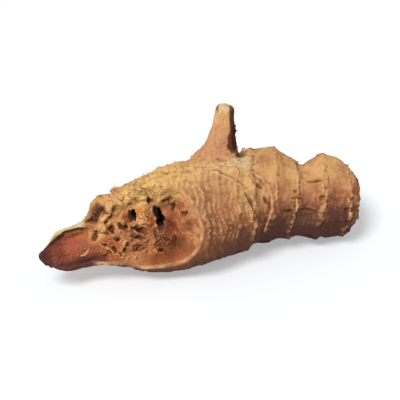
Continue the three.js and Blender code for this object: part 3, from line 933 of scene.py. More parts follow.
unrolled = unroll(degrees)
frayed = np.zeros(len(points))
under_edge = np.zeros(len(points))
fray = 0.06 * cloud(points, 0.5, 30)
for edge in FRAYED_EDGES:
    stops = [(at, unroll(around)) for at, around in edge]
    gap = line_gap(along + 0.5 * warp_u, unrolled + 0.5 * warp_v, stops) + fray
    frayed = np.maximum(frayed, np.where(gap < 0, ease(-0.12, 0.0, gap), ease(0.55, 0.10, gap)))
    under_edge = np.maximum(under_edge, ease(-0.05, -0.16, gap) * ease(-0.6, -0.25, gap))
patchy = (1 - shoot) * np.clip(0.9 + 0.45 * cloud(straight, 0.7, 21, (0.4, 1, 1)), 0, 1.2)
frayed *= patchy
under_edge *= patchy
relief += 0.17 * frayed - 0.12 * under_edge
notch = blob(along, unrolled, NOTCH_AT, unroll(NOTCH_ROUND), NOTCH_REACH)
relief -= 0.3 * notch
print(len(FRAYED_EDGES), "frayed edges lie at the shoot's foot")

# %% [markdown]
# The shoot is a roll of leaf sheaths, ribbed along its length. On the side away from the lamp the
# skin is sunk a little and painted dark, as painted shade. The ribs come from noise that is stretched
# upwards.

# %% The shoot
SHADED_SIDE = (0.91, -0.41, 0)

around_stem = np.stack([0.12 * shoot_height, points[:, 0], points[:, 1]], axis=1)
sheath_ribs = creases(around_stem, 0.8, 22)
stem_streaks = cloud(around_stem, 0.55, 36)
stem_x = np.interp(points[:, 2], STEM[:, 2], STEM[:, 0])
stem_y = np.interp(points[:, 2], STEM[:, 2], STEM[:, 1])
aside = (points - np.stack([stem_x, stem_y, points[:, 2]], axis=1)) @ SHADED_SIDE
# The side of the shoot away from the lamp is sunk a little and painted dark further on, as painted shade.
toward_shaded_side = aside + 0.20 * cloud(points, 1.1, 26) + 0.10 * cloud(points, 0.4, 37)
above_foot = shoot_height - 5.9 + 0.58 * aside + 0.25 * cloud(points, 0.6, 39)
sunk_shaded_side = shoot * ease(0.95, 1.15, toward_shaded_side) * ease(12.4, 11.4, shoot_height) * ease(-0.1, 0.2, above_foot)
relief += shoot * (0.14 * (sheath_ribs - 0.5) + 0.06 * cloud(around_stem, 0.3, 23))
relief -= sunk_shaded_side * (0.12 - 0.16 * (creases(around_stem, 0.45, 38) - 0.5))
print("the stain covers", round(100 * float(sunk_shaded_side.sum() / shoot.sum())), "% of the shoot")

# %% [markdown]
# Every vertex now moves along its normal by its relief. One light round of smoothing takes single
# spikes out of the rind, and nothing may sink below the table.

# %% Carve the skin
carved = points + relief[:, None] * normals
carved = carved + 0.3 * (1 - torn)[:, None] * (blur(carved, 1) - carved)
carved[:, 2] = np.maximum(carved[:, 2], 0)
write_points(rhizome.data, carved)
print("the relief runs from", round(float(relief.min()), 2), "to", round(float(relief.max()), 2), "mm")

# %% [markdown]
# The colours darken the hollows as painted shade and lighten the ridges as painted highlights, so
# they need two more masks: how far a point stands above or below the skin right around it, and
# further around it.

# %% Ridges and hollows
normals = read_normals(rhizome.data)
near = blur(carved, 8)
wide = blur(near, 60)
proud = np.clip(((carved - near) * normals).sum(axis=1) / 0.08, -1, 1)
proud_wide = np.clip(((carved - wide) * normals).sum(axis=1) / 0.45, -1, 1)
print(round(100 * float((proud > 0.3).mean())), "% of the vertices stand proud")

# %% [markdown]
# ## Painting the rhizome
#
# Nodes alone could colour it, but they don't know where the crest or the cup is. So the large
# colours are painted on the vertices, as with a brush, one thin coat over another. Each coat has a
# colour and a share for every vertex, and the masks that carved the skin say where it goes.

# %% Paints
TAN = (238, 192, 124)
BUFF = (211, 154, 97)
PINK_BROWN = (184, 122, 82)
RED_BROWN = (162, 94, 60)
UMBER = (132, 80, 48)
RUST = (112, 58, 28)
PURPLE_BROWN = (98, 60, 48)
CREAM = (238, 208, 158)
PEACH = (232, 174, 122)
APRICOT = (236, 176, 112)
STRAW = (246, 201, 122)
FLESH = (206, 138, 90)
FLESH_DARK = (172, 98, 54)
ORANGE_RED = (168, 80, 42)
AMBER = (222, 146, 62)
ROSE = (188, 96, 72)
WINE = (118, 50, 42)
PLUM = (80, 36, 36)
OLIVE = (146, 98, 52)
SHEATH = (228, 170, 122)
OXBLOOD = (100, 42, 28)
COCOA = (84, 42, 22)
BLACK_BROWN = (20, 12, 10)

painted = np.tile(paint(*PINK_BROWN)[:3], (len(points), 1))


def coat(colour, share):
    """Lays a thin coat over what is painted already."""
    share = np.clip(share, 0, 1)[:, None]
    painted[:] = painted * (1 - share) + np.array(paint(*colour)[:3]) * share


def daub_rind(patches):
    """Soft round patches on the rind: a paint, along (mm), round (degrees), reach (mm), share."""
    for colour, at, around, reach, share in patches:
        coat(colour, rind * blob(along, unrolled, at, unroll(around), reach) * share)


def daub_tear(where, patches):
    """Soft round patches in the tear: a paint, along and across it, reach (mm) and share."""
    for colour, at, across, reach, share in patches:
        coat(colour, where * blob(tear_along, tear_across, at, across, reach) * share)


print("the ground colour is", painted[0].round(2), "in linear light")

# %% [markdown]
# The rind is yellow tan on top, pinkish brown on its flanks and dark purple brown below. This is
# partly the rind's own colour and partly painted light and shade: how light it is follows from which
# way it faces, made uneven by noise. Patches placed one by one come under the beads' colours, and a
# few touches over them.

# %% The rind's ground colours
RIND_PATCHES = (
    (PINK_BROWN, 28.3, 128, 6.0, 0.55),
    (PINK_BROWN, 38.7, 96, 2.6, 0.80),
    (UMBER, 25.4, 181, 3.8, 0.65),
    (RED_BROWN, 40.6, 139, 3.0, 0.40),
    (RED_BROWN, 46.4, 140, 3.4, 0.40),
    (PURPLE_BROWN, 45.0, 176, 4.5, 0.75),
    # This tan patch is the pale frayed leaf there, and painted light where the shoot's shadow falls.
    (TAN, 34.8, 96, 3.8, 0.90),
    (CREAM, 29.8, 103, 4.0, 0.30),
    (PINK_BROWN, 51.0, 112, 3.6, 0.35),
    (TAN, 34.2, 151, 2.6, 0.80),
    (BUFF, 37.0, 144, 3.4, 0.85),
    (UMBER, 39.2, 158, 2.4, 0.70),
    (TAN, 43.4, 114, 2.6, 0.90),
    (PEACH, 42.8, 113, 2.2, 0.40),
    (PLUM, 45.0, 179, 3.2, 0.35),
)

streaks = cloud(straight, 0.9, 24, (0.14, 1, 1))
patches = cloud(straight, 2.6, 25)
blots = cloud(straight, 1.1, 26)
young = ease(35.5, 39.5, along - lean * np.cos(angle))
lit = facing_up + 0.06 * streaks + 0.16 * patches + 0.11 * blots - 0.10 * young
lit -= 0.22 * ease(48.6, 49.8, along) * ease(0.75, 0.50, facing_up)

# Lighter where the rind faces up and darker where it faces down: partly its own colour, partly painted light
# and shade.
coat(BUFF, ease(0.15, 0.95, lit))
coat(TAN, ease(0.45, 1.10, lit + 0.05) * (1 - 0.25 * young))
coat(PEACH, young * ease(0.6, 0.9, lit) * ease(-0.2, 0.6, blots) * 0.4)
coat(RED_BROWN, ease(0.80, 0.15, lit) * (0.60 + 0.3 * blots))
coat(UMBER, ease(0.35, -0.05, lit))
coat(PURPLE_BROWN, ease(0.15 + 0.12 * young, -0.25 + 0.15 * young, lit))
coat(PLUM, young * ease(0.05, -0.30, lit) * 0.6)
coat(RED_BROWN, young * ease(0.95, 0.30, lit) * ease(-0.05, 0.3, lit) * ease(-0.5, 0.7, blots) * 0.6)
daub_rind(RIND_PATCHES)
print("with the rind's ground colours the mean is", painted.mean(axis=0).round(2))

# %% Beads, leaf rings, bud and scars
RIND_TOUCHES = (
    # The cream patch is the pale frayed leaf below the shoot, and painted light where the shoot's shadow
    # falls.
    (CREAM, 34.6, 93, 3.6, 0.78),
    (TAN, 34.0, 134, 2.2, 0.50),
    (TAN, 36.9, 136, 1.8, 0.40),
    (PEACH, 37.5, 141, 0.9, 0.60),
    (STRAW, 23.5, 91, 2.4, 0.35),
    (UMBER, 24.7, 186, 3.4, 0.54),
    (RED_BROWN, 29.6, 121, 4.0, 0.16),
    (RED_BROWN, 39.6, 143, 3.2, 0.18),
    (PINK_BROWN, 37.8, 117, 1.8, 0.30),
    (PEACH, 43.1, 117, 1.8, 0.40),
    (BUFF, 36.4, 154, 1.6, 0.30),
)
# A ring that is whole further round stays pale further down.
WHOLE_ON_AVERAGE = 194
DEGREES_PER_LIT = 57

# Hollows are darkened as painted shade, more so where they face down, and ridges are lightened as painted
# highlights.
coat(UMBER, 0.5 * ease(0.2, 0.9, -proud) * (1 - 0.4 * facing_up))
coat(OLIVE, 0.5 * ease(0.3, 1.0, -proud_wide) * ease(0.0, 0.6, lit))
coat(BUFF, 0.45 * ease(0.2, 0.9, proud) * ease(-0.3, 0.3, lit))
coat(UMBER, rind * ease(0.5, 0.1, bead) * bead_share * ease(1.1, 0.6, lit) * 0.60)
coat(RED_BROWN, rind * ease(0.3, 0.8, bead) * bead_share * ease(0.2, -0.4, lit) * 0.7)
coat(PEACH, rind * ease(0.3, 0.8, bead) * bead_share * ease(-0.4, 0.3, lit) * 0.8)
# The collars' pale paint fades where the rind faces down, as painted shade, and the crease behind each collar
# is darkened as painted shade.
collar_light = ease(-0.6, 0.2, lit + (whole_to - WHOLE_ON_AVERAGE) / DEGREES_PER_LIT)
collar_light *= 0.8 - 0.35 * ease(0.1, -0.5, facing_up)
coat(PEACH, rind * np.clip(collar / 0.25, 0, 1) * ease(0.3, 0.9, ragged) * collar_light)
coat(COCOA, rind * np.clip(crease / 0.25, 0, 1) * ease(0.4, 1.0, ragged) * 0.6)
foot_ground = (1 - shoot) * ease(26.5, 28.5, along) * ease(37.0, 34.5, along) * ease(60, 75, degrees)
foot_ground *= ease(128, 100, degrees)
coat(OLIVE, foot_ground * ease(0.35, 0.0, frayed) * ease(0.0, 0.6, streaks) * 0.4)
# Just behind each frayed edge the rind is darkened as painted shade.
coat(COCOA, under_edge * (0.40 + 0.15 * ease(110, 130, degrees)))
daub_rind(RIND_TOUCHES)
coat(PEACH, ease(0.30, 0.80, frayed) * 0.85)
coat(CREAM, ease(0.30, 0.80, frayed) * ease(125, 100, degrees) * 0.8)
coat(RED_BROWN, end_face * ease(-0.4, 0.5, blots + 0.8 * facing_up) * 0.6)
# On the end face the wrinkles' valleys and the groove round the bud are darkened as painted shade, and the
# wrinkles' ridges, the collars where they face up and the raised bud are lightened as painted highlights.
coat(UMBER, end_face * ease(0.25, 0.0, bud_wrinkles) * 0.6)
coat(BUFF, end_face * ease(0.6, 1.0, bud_wrinkles) * 0.25)
coat(BUFF, np.clip(end_collar / 0.18, 0, 1) * ease(0.2, 0.8, ragged) * (0.45 + 0.3 * facing_up))
coat(BUFF, bud * ease(0.0, 0.6, proud) * 0.7)
bud_groove = end_face * hump(bud_gap, BUD_GROOVE, 0.24)
coat(COCOA, bud_groove * (0.25 + 0.45 * ease(-0.5, 0.5, cloud(points, 1.0, 45))))
# The hollow beside the shoot's foot is painted dark as its shade.
coat(OXBLOOD, notch)
coat(COCOA, scar * (0.65 + 0.3 * blots))
print("with beads, rings and scars it is", painted.mean(axis=0).round(2))

# %% [markdown]
# The torn flesh is straw-coloured on its crest, pinkish tan in the middle and red brown in the cup.
# The ridges are lightened as painted highlights, and the pits and hollows are darkened as painted shade.

# %% Paint the torn flesh
CUP_SHADOWS = (
    (WINE, 3.0, -0.3, 2.0, 0.90),
    (WINE, 3.0, -3.6, 1.6, 0.85),
    (RUST, 1.2, -2.9, 2.2, 0.60),
)
AROUND_THE_HOLES = (
    (RUST, 1.0, -4.2, 3.2, 0.65),
    (AMBER, -0.3, 2.6, 1.7, 0.95),
    (PEACH, -1.3, 1.4, 1.0, 0.80),
    (CREAM, 0.8, 2.5, 0.8, 0.70),
)
TORN_TOUCHES = (
    # This straw patch lightens the shaded underside of the crest: painted light.
    (STRAW, 2.6, 5.5, 3.2, 1.00),
    (STRAW, 5.6, 4.9, 2.0, 0.40),
    (APRICOT, -5.0, 2.5, 2.2, 0.75),
    (APRICOT, -0.8, 1.4, 1.6, 0.85),
    (APRICOT, -8.5, 0.5, 2.0, 0.45),
    (RUST, -3.2, -0.4, 1.7, 0.40),
    (RUST, -3.0, 1.7, 1.2, 0.50),
    (RUST, 0.5, -1.8, 1.3, 0.50),
    (RUST, 2.3, -4.9, 1.5, 0.50),
    (RUST, 2.0, -1.6, 2.0, 0.70),
    (RUST, 4.3, -4.0, 2.0, 0.65),
    (RUST, 4.9, 2.4, 1.5, 0.30),
)

near_rim = torn * ease(3.2, 1.0, depth) * ease(-1.0, 1.5, tear_along)
coat(FLESH, torn)
coat(FLESH_DARK, torn * ease(0.0, 0.7, cloud(points, 1.6, 27)) * 0.7)
coat(ORANGE_RED, torn * ease(-3.5, -6.5, tear_along) * ease(1.2, -1.0, tear_across) * 0.9)
coat(FLESH_DARK, cup * ease(-0.6, 0.7, blots) * 0.8)
daub_tear(cup, [(ORANGE_RED, 3.2, -2.2, 3.0, 0.8)])
coat(PEACH, near_rim * ease(0.4, -0.4, blots) * 0.55)
daub_tear(torn, CUP_SHADOWS)
coat(FLESH_DARK, torn * ease(-4.0, -5.2, tear_across) * ease(-3.0, -1.0, tear_along))
daub_tear(torn, AROUND_THE_HOLES)
coat(STRAW, crumbling * ease(2.4, 4.2, tear_across + 0.4 * blots) * 0.8)
# Ridges are lightened as painted highlights; hollows and pits are darkened as painted shade.
coat(APRICOT, crumbling * ease(0.1, 0.8, proud) * 0.65)
coat(APRICOT, crumbling * ease(0.05, 0.5, proud_wide) * 0.7)
coat(ORANGE_RED, torn * ease(0.2, 0.8, -proud) * 0.5)
coat(UMBER, pit_edge * (0.75 - 0.35 * crest))
coat(UMBER, torn * ease(0.35, 0.9, -proud_wide) * (0.65 - 0.50 * crest))
coat(RUST, pit_floor * (0.8 - 0.3 * crest))
coat(COCOA, pit_floor * ease(0.5, 1.0, -proud_wide) * (0.5 - 0.4 * crest))
coat(STRAW, crest * ease(27.0, 22.5, along + 1.2 * blots) * (0.82 + 0.18 * blots) * (1 - 0.8 * pit_floor))
# On the crest, hollows are darkened as painted shade and ridges are lightened as painted highlights.
coat(OLIVE, crest * ease(0.3, 1.0, -proud) * 0.45)
coat(CREAM, crest * ease(0.3, 1.0, proud) * ease(-0.2, 0.5, patches) * 0.5)
coat(PEACH, left_ridge * 0.95)
coat(STRAW, left_ridge * ease(-0.2, 0.5, blots) * 0.6)
daub_tear(torn * (1 - pit_floor), TORN_TOUCHES)
print("with the torn flesh it is", painted.mean(axis=0).round(2))

# %% [markdown]
# The strip is what is left of the rind's inside: smooth, wine red at its tip, with a pale dry edge.
# The holes are painted black, because no light comes back from them.

# %% Paint the strip, the rim and the holes
coat(RED_BROWN, trough)
coat(ORANGE_RED, trough * ease(-0.3, 0.4, streaks) * 0.8)
coat(WINE, trough * ease(-12.0, -13.8, tear_along) * 0.75)
# The rose patch is a painted highlight on the strip's bulge.
daub_tear(trough, [(ROSE, -11.8, 0.3, 2.2, 0.7), (AMBER, -9.9, 1.7, 1.7, 0.6)])
# The strip's lower side is darkened plum as painted shade.
coat(PLUM, trough * ease(-1.4, -2.8, tear_across) * 0.9)
daub_tear(trough, [(PLUM, -10.9, -3.0, 1.9, 0.9)])
coat(PLUM, on_strip * near_tear * ease(-14.6, -15.8, tear_along) * ease(1.5, 0.8, tear_across) * 0.9)
coat(OLIVE, torn * ease(0.4, 1.0, slit))
coat(COCOA, torn * ease(0.4, 1.0, slit) * 0.7)
dry_edge = rim * (1 - crest) * (1 - on_strip) * (0.65 + 0.3 * blots + 0.2 * streaks)
coat(PEACH, dry_edge * (1 - 0.5 * flaked))
coat(COCOA, flaked * ease(0.02, 0.14, depth) * ease(0.34, 0.20, depth) * 0.45)
coat(CREAM, above_fold * ease(1.9, 1.3, -fold_gap) * ease(0.3, 0.7, tear_across) * 0.9)
# The lower rim of the strip is darkened plum as painted shade.
coat(PLUM, rim * on_strip * ease(-0.2, -1.0, tear_across) * 0.7)
# The fold inside the strip's edge is painted dark as its shade.
coat(COCOA, fold * 0.95)
daub_tear(torn, [(BLACK_BROWN, 1.7, 0.5, 1.1, 0.9)])
coat(BLACK_BROWN, black)
coat(RED_BROWN, behind)
# Behind the tear the flesh is lighter where it faces up and darker where it faces down, darker in its creases
# and lighter on its ridges: painted light and shade.
coat(BUFF, behind * ease(0.0, 0.8, facing_up + 0.4 * patches) * 0.8)
coat(UMBER, behind * ease(0.1, -0.6, facing_up + 0.3 * blots) * 0.8)
coat(COCOA, behind * ease(-0.05, -0.35, leathery) * 0.7)
coat(BUFF, behind * ease(0.3, 1.0, proud) * 0.3)
print("the deep holes are black on", round(100 * float((black > 0.5).mean()), 2), "% of the vertices")

# %% [markdown]
# The lobe is rind again. The shoot is a paler, pinker skin, cream where it broke off, and painted
# dark red brown on its side away from the lamp, as painted shade.

# %% Paint the lobe and the shoot
coat(BUFF, lobe * 0.8)
# The lobe is darker where it faces down and in its hollow, and lighter on its ridges: painted shade and
# painted highlights.
coat(UMBER, lobe * ease(0.75, 0.2, facing_up) * 0.8)
coat(TAN, lobe * ease(0.2, 0.9, proud) * 0.5)
coat(UMBER, lobe_hollow)
coat(COCOA, lobe_hollow * ease(0.9, 0.5, hollow_reach))
coat(SHEATH, shoot)
coat(APRICOT, shoot * ease(0.0, 0.8, stem_streaks) * 0.7)
coat(BUFF, shoot * ease(0.1, -0.8, stem_streaks) * 0.6)
coat(PINK_BROWN, shoot * ease(11.0, 4.0, shoot_height) * 0.40)
coat(TAN, shoot * ease(8.2, 10.8, shoot_height) * 0.6)
coat(CREAM, shoot * ease(10.6, 11.6, shoot_height) * 0.9)
# The shoot's hollows, its side away from the lamp and the hollow at its foot are painted dark as shade.
coat(UMBER, shoot * ease(0.2, 0.9, -proud) * 0.5)
coat(OXBLOOD, shoot * ease(0.10, 0.6, -proud_wide))
coat(OXBLOOD, np.maximum(sunk_shaded_side, shoot * notch))
coat(RUST, sunk_shaded_side * ease(-0.1, 0.7, stem_streaks) * 0.8)
coat(COCOA, sunk_shaded_side * ease(0.1, -0.6, stem_streaks) * 0.6)
coat(RED_BROWN, sunk_shaded_side * ease(0.2, 0.9, proud) * 0.4)
coat(UMBER, shoot * ease(10.5, 11.3, shoot_height) * ease(0.65, 1.05, np.abs(aside - 0.1)) * 0.9)
print("the rhizome's mean colour is", painted.mean(axis=0).round(2))


# %% [markdown]
# The finest grain is finer than the vertices, so it can't be painted on them. It comes from nodes:
# streaks along the stem, specks of dust, and a bump to go with them. The straightened places are
# stored with the paint, so that the streaks follow the bends.

# %% Store the paint and the places
def keep_on_mesh(mesh, name, values):
    """Stores a number, a vector or a colour for every vertex, for the materials to read."""
    kinds = {1: ("FLOAT", "value"), 3: ("FLOAT_VECTOR", "vector"), 4: ("FLOAT_COLOR", "color")}
    columns = 1 if values.ndim == 1 else values.shape[1]
    kind, field = kinds[columns]
    layer = mesh.attributes.new(name, kind, "POINT")
    layer.data.foreach_set(field, values.astype(np.float32).ravel())


keep_on_mesh(rhizome.data, "painted", np.hstack([painted, np.ones((len(points), 1))]))
keep_on_mesh(rhizome.data, "straight", straight)
keep_on_mesh(rhizome.data, "smoothness", np.clip(0.6 * trough + 0.5 * shoot, 0, 1))
print("the mesh keeps", [layer.name for layer in rhizome.data.attributes if layer.name[0] != "."])

# %% The material
BUMP_DEPTH = 0.09 * MM

skin_paint, wire, shader = new_material("rhizome_skin")
painted_wire = wire.stored("painted", out="Color")
straight_place = wire.stored("straight", out="Vector")
along_streaks = wire.squeezed(straight_place, (0.16, 1.0, 1.0))
fine_streaks = wire.noise(along_streaks, 2.6, 5.0, 0.65)
grain = wire.noise(straight_place, 3.6, 4.0, 0.65)
specks = wire.noise(straight_place, 2.6, 2.0, 0.5).between(0.60, 0.74)

darker = wire.mix(1.0, painted_wire, paint(200, 174, 150), "MULTIPLY")
paler = wire.mix(1.0, painted_wire, paint(82, 58, 34), "SCREEN")
skin_colour = wire.mix(fine_streaks.between(0.50, 0.72) * 0.55, painted_wire, darker)
skin_colour = wire.mix(grain.between(0.54, 0.74) * 0.50, skin_colour, darker)
skin_colour = wire.mix(grain.between(0.46, 0.28) * 0.45, skin_colour, paler)
skin_colour = wire.mix(specks * 0.35, skin_colour, paler)

bump_height = grain * 0.6 + fine_streaks * 0.7 + specks * 0.3
bump_sockets = {"Strength": 0.5, "Distance": BUMP_DEPTH, "Height": bump_height}
roughness = 0.92 - wire.stored("smoothness") * 0.35 - grain * 0.12
skin_colour.plug_into(shader, "Base Color")
roughness.plug_into(shader, "Roughness")
wire.node("ShaderNodeBump", {}, bump_sockets).plug_into(shader, "Normal")
shader.inputs["Specular IOR Level"].default_value = 0.35
rhizome.data.materials.append(skin_paint)
print("the rind's material has", len(skin_paint.node_tree.nodes), "nodes")

# %% Finish the rhizome
select_only(rhizome)
bpy.ops.object.shade_smooth()
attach(rhizome, "root")
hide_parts(NODE)
print("the rhizome has", len(rhizome.data.polygons), "faces")

# %% [markdown]
# ## Loose fibres
#
# A rhizome doesn't snap cleanly. Bundles of fibre pull out of the flesh and curl as they dry, and the
# old leaf rings are fringed with short hairs. A hair system could grow them, but they have to end up
# as a mesh, and a light one. So one rod is modelled, by extruding a five-sided cylinder ring by ring.
# Every fibre is a copy of it, laid along a curve of its own and thinner towards its tip. Some curves
# creep over the skin and others stand out in the air.

# %% One rod
ROD_SIDES = 5
ROD_STEPS = 9

bpy.ops.object.select_all(action="DESELECT")
bpy.ops.mesh.primitive_cylinder_add(vertices=ROD_SIDES, radius=1, depth=1)
rod = bpy.context.object
bpy.ops.object.mode_set(mode="EDIT")
bpy.ops.mesh.select_mode(type="FACE")
bpy.ops.mesh.select_all(action="DESELECT")
bpy.ops.object.mode_set(mode="OBJECT")
max(rod.data.polygons, key=lambda face: face.center.z).select = True
bpy.ops.object.mode_set(mode="EDIT")
for _ in range(ROD_STEPS - 1):
    bpy.ops.mesh.extrude_region_move(TRANSFORM_OT_translate={"value": (0, 0, 1)})
bpy.ops.object.mode_set(mode="OBJECT")

rod_points = read_points(rod.data) * MM
rod_ring = np.round(rod_points[:, 2] + 0.5).astype(int)
# Extrude doesn't always number its faces alike. Sorted, they are the same on every run.
rod_faces = sorted(list(face.vertices) for face in rod.data.polygons)
bpy.data.objects.remove(rod)
print("the rod has", len(rod_points), "vertices and", len(rod_faces), "faces")

# %% Lay a rod along a path
skin_faces = [list(face.vertices) for face in rhizome.data.polygons]
skin_tree = BVHTree.FromPolygons(carved.tolist(), skin_faces)
# A direction that no path runs along, to start each rod's sides from.
ASKEW = (0.36, 0.48, 0.8)
ROOT_DEPTH = 0.12


def lay_rod(path, radii):
    """The rod's vertices, moved so that it follows a path with a radius at each of its rings."""
    way = np.gradient(path, axis=0)
    way /= np.linalg.norm(way, axis=1, keepdims=True)
    side = np.cross(way[0], ASKEW)
    sides = []
    for step in way:
        side = side - step * (side @ step)
        side = side / np.linalg.norm(side)
        sides.append(side)
    sides = np.array(sides)
    ups = np.cross(way, sides)
    across = rod_points[:, :1] * sides[rod_ring] + rod_points[:, 1:2] * ups[rod_ring]
    return path[rod_ring] + radii[rod_ring, None] * across


def creep(start, heading, bend, length, lift):
    """A path that creeps over the skin, turning as it goes, with its middle lifted."""
    place, heading = Vector(start), Vector(heading)
    path = []
    for k in range(ROD_STEPS + 1):
        spot, normal, _, _ = skin_tree.find_nearest(place)
        path.append(spot + normal * lift * (1.2 * np.sin(np.pi * k / ROD_STEPS) - 0.2))
        heading = (heading - normal * heading.dot(normal)).normalized()
        heading = Matrix.Rotation(bend * length / ROD_STEPS, 3, normal) @ heading
        place = spot + heading * length / ROD_STEPS
    return np.array(path)


def stand_out(start, heading, axis, bend, length):
    """A path that leaves the skin and bends evenly about an axis."""
    place, heading = Vector(start) - ROOT_DEPTH * Vector(heading), Vector(heading).normalized()
    path = []
    for _ in range(ROD_STEPS + 1):
        path.append(place.copy())
        heading = Matrix.Rotation(bend * length / ROD_STEPS, 3, axis) @ heading
        place = place + heading * length / ROD_STEPS
    return np.array(path)


print("the paths are laid on", len(skin_faces), "faces")

# %% [markdown]
# Where fibres start is drawn at random, with better odds where a mask is high. A fibre that would
# leave the solid's box or reach into the ground is dropped.

# %% Helpers that sow fibres
BOX_MARGIN = 0.05
BOX_LOW = np.array(LOW) / MM + BOX_MARGIN
BOX_HIGH = np.array(HIGH) / MM - BOX_MARGIN
TAPER = np.linspace(1, 0.35, ROD_STEPS + 1)

fibre_points = []
fibre_tones = []


def add_fibre(path, thickness, tone, taper=TAPER):
    """Keeps a fibre if it stays inside the box."""
    if (path < BOX_LOW).any() or (path > BOX_HIGH).any():
        return
    fibre_points.append(lay_rod(path, thickness * taper))
    fibre_tones.append(np.full(len(rod_points), tone))


def sow(mask, number):
    """Some vertices of the skin, drawn with the mask as their odds."""
    return random.choice(len(carved), number, p=mask / mask.sum())


def any_way():
    """A direction drawn at random."""
    way = random.normal(size=3)
    return way / np.linalg.norm(way)


def sow_standing(mask, number, heading_of, bends, lengths, radii, tones):
    """Fibres that stand out. What varies is drawn between two limits."""
    for k in sow(mask, number):
        heading = heading_of(k)
        path = stand_out(carved[k], heading, any_way(), random.uniform(*bends), random.uniform(*lengths))
        add_fibre(path, random.uniform(*radii), random.uniform(*tones))


print("fibres stay", BOX_MARGIN, "mm inside the solid's box")

# %% Sow the fibres
flesh_edge = crest * torn + left_ridge + 0.15 * crumbling * (1 - black) * (1 - pit_floor)
flesh_edge *= 1 - on_strip
# Long ones creep along the edges of the flesh.
for k in sow(flesh_edge, 60):
    bend = random.uniform(0.4, 1.6) * random.choice((-1, 1))
    path = creep(carved[k], any_way(), bend, random.uniform(0.8, 1.8), random.uniform(0.05, 0.15))
    add_fibre(path, random.uniform(0.07, 0.13), random.uniform(0.15, 0.5))

# Short, tangled ones stand along the crest and the ridge.
sow_standing(
    crest * ease(0.9, 0.1, np.abs(depth)) + 0.5 * left_ridge, 130,
    lambda k: 0.8 * normals[k] + 1.2 * any_way() - 0.8 * TEAR_ALONG,
    bends=(0.5, 2.4), lengths=(0.4, 1.0), radii=(0.05, 0.09), tones=(0.2, 0.8),
)
# Dark ones hang in the pits.
sow_standing(
    crumbling * (pit_edge * (1 - pit_floor) + 0.2 * slit * (1 - black)), 40,
    lambda k: 0.5 * normals[k] + any_way(),
    bends=(0.4, 2.0), lengths=(0.4, 1.1), radii=(0.045, 0.08), tones=(0.0, 0.35),
)

ring_edge = rind * np.clip(collar - 0.05, 0, 1) * ease(0.3, 0.9, ragged) * ease(-0.6, 0.2, facing_up)
stem_way = line_way[np.clip(np.searchsorted(line_at, along), 0, len(line) - 1)]
# Fine ones fringe the old leaves.
sow_standing(
    ring_edge + 0.5 * frayed, 180,
    lambda k: 0.35 * normals[k] + stem_way[k] + 0.3 * any_way(),
    bends=(0.1, 1.2), lengths=(0.3, 0.7), radii=(0.03, 0.05), tones=(0.2, 0.7),
)

tip = shoot * ease(11.2, 11.9, shoot_height)
# Pale ones point up at the foot of the shoot and at its tip.
sow_standing(
    ease(0.45, 0.2, np.abs(shoot - 0.5)) + 0.3 * tip, 40,
    lambda k: 0.5 * normals[k] + np.array((0, 0, 0.7)) + 0.5 * any_way(),
    bends=(0.2, 1.0), lengths=(0.4, 1.0), radii=(0.04, 0.07), tones=(0.5, 1.0),
)
print(len(fibre_points), "fibres are sown")

# %% [markdown]
# A thick, pale shred of fibre lies curled on the strip, and a stub of one sticks up beside the shoot.
# Chance wouldn't put them there, so their paths are given one by one: three strands each, thickest in
# the middle. The curl's paths are drawn flat and dropped on the flesh.

# %% The curl on the strip and the stub beside the shoot
# Along and across the tear, from the end that still holds on; then the strand's half thickness.
CURL = (
    ((-9.6, -1.0), (-9.8, -1.4), (-10.2, -1.7), (-10.6, -1.8), (-11.0, -1.7), 0.20),
    ((-9.5, -0.9), (-9.6, -1.3), (-9.9, -1.6), (-10.2, -1.6), (-10.4, -1.4), 0.13),
    ((-9.7, -1.1), (-9.9, -0.9), (-10.1, -0.8), (-10.5, -0.8), (-10.7, -0.7), 0.09),
)
# Points in millimetres and half thickness.
STUB = (
    ((10.9, 3.4, 14.4), (10.2, 3.5, 15.0), (9.5, 3.4, 15.3), (8.8, 3.2, 15.2), 0.23),
    ((10.9, 3.0, 14.5), (10.3, 2.9, 14.9), (9.6, 2.8, 15.1), (9.1, 2.7, 15.0), 0.16),
    ((10.6, 3.3, 14.5), (9.9, 3.2, 15.1), (9.3, 3.0, 15.4), (9.0, 2.6, 15.3), 0.13),
)
SWELL = 0.35 + 0.65 * np.sin(np.pi * np.linspace(0.08, 0.95, ROD_STEPS + 1))
DROP_HEIGHT = 9


def through(stops):
    """A path through a few points, with one place for each of the rod's rings."""
    share = np.linspace(0, len(stops) - 1, ROD_STEPS + 1)
    return np.column_stack([np.interp(share, range(len(stops)), side) for side in zip(*stops)])


for *stops, thickness in CURL:
    strand = []
    for at, across in through(stops):
        above = TEAR_CENTRE + at * TEAR_ALONG + across * TEAR_ACROSS + DROP_HEIGHT * TEAR_OUT
        spot, normal, _, _ = skin_tree.ray_cast(Vector(above), Vector(-TEAR_OUT))
        strand.append(spot + 0.6 * thickness * Vector(TEAR_OUT))
    add_fibre(np.array(strand), thickness, 0.1 + 2.5 * thickness, SWELL)
for *stops, thickness in STUB:
    add_fibre(through(stops), thickness, 0.5 + 1.8 * thickness, SWELL)
print("with the curl and the stub there are", len(fibre_points), "fibres")


# %% Join the fibres in one piece
def join_copies(name, copies, faces):
    """One piece from copies of a shape: the vertices of each copy (mm) and the faces of one."""
    mesh = bpy.data.meshes.new(name)
    step = len(copies[0])
    joined = [[v + k * step for v in face] for k in range(len(copies)) for face in faces]
    mesh.from_pydata((np.vstack(copies) * MM).tolist(), [], joined)
    piece = bpy.data.objects.new(name, mesh)
    bpy.context.scene.collection.objects.link(piece)
    return piece


fibres = join_copies("fibres", fibre_points, rod_faces)
keep_on_mesh(fibres.data, "tone", np.concatenate(fibre_tones))

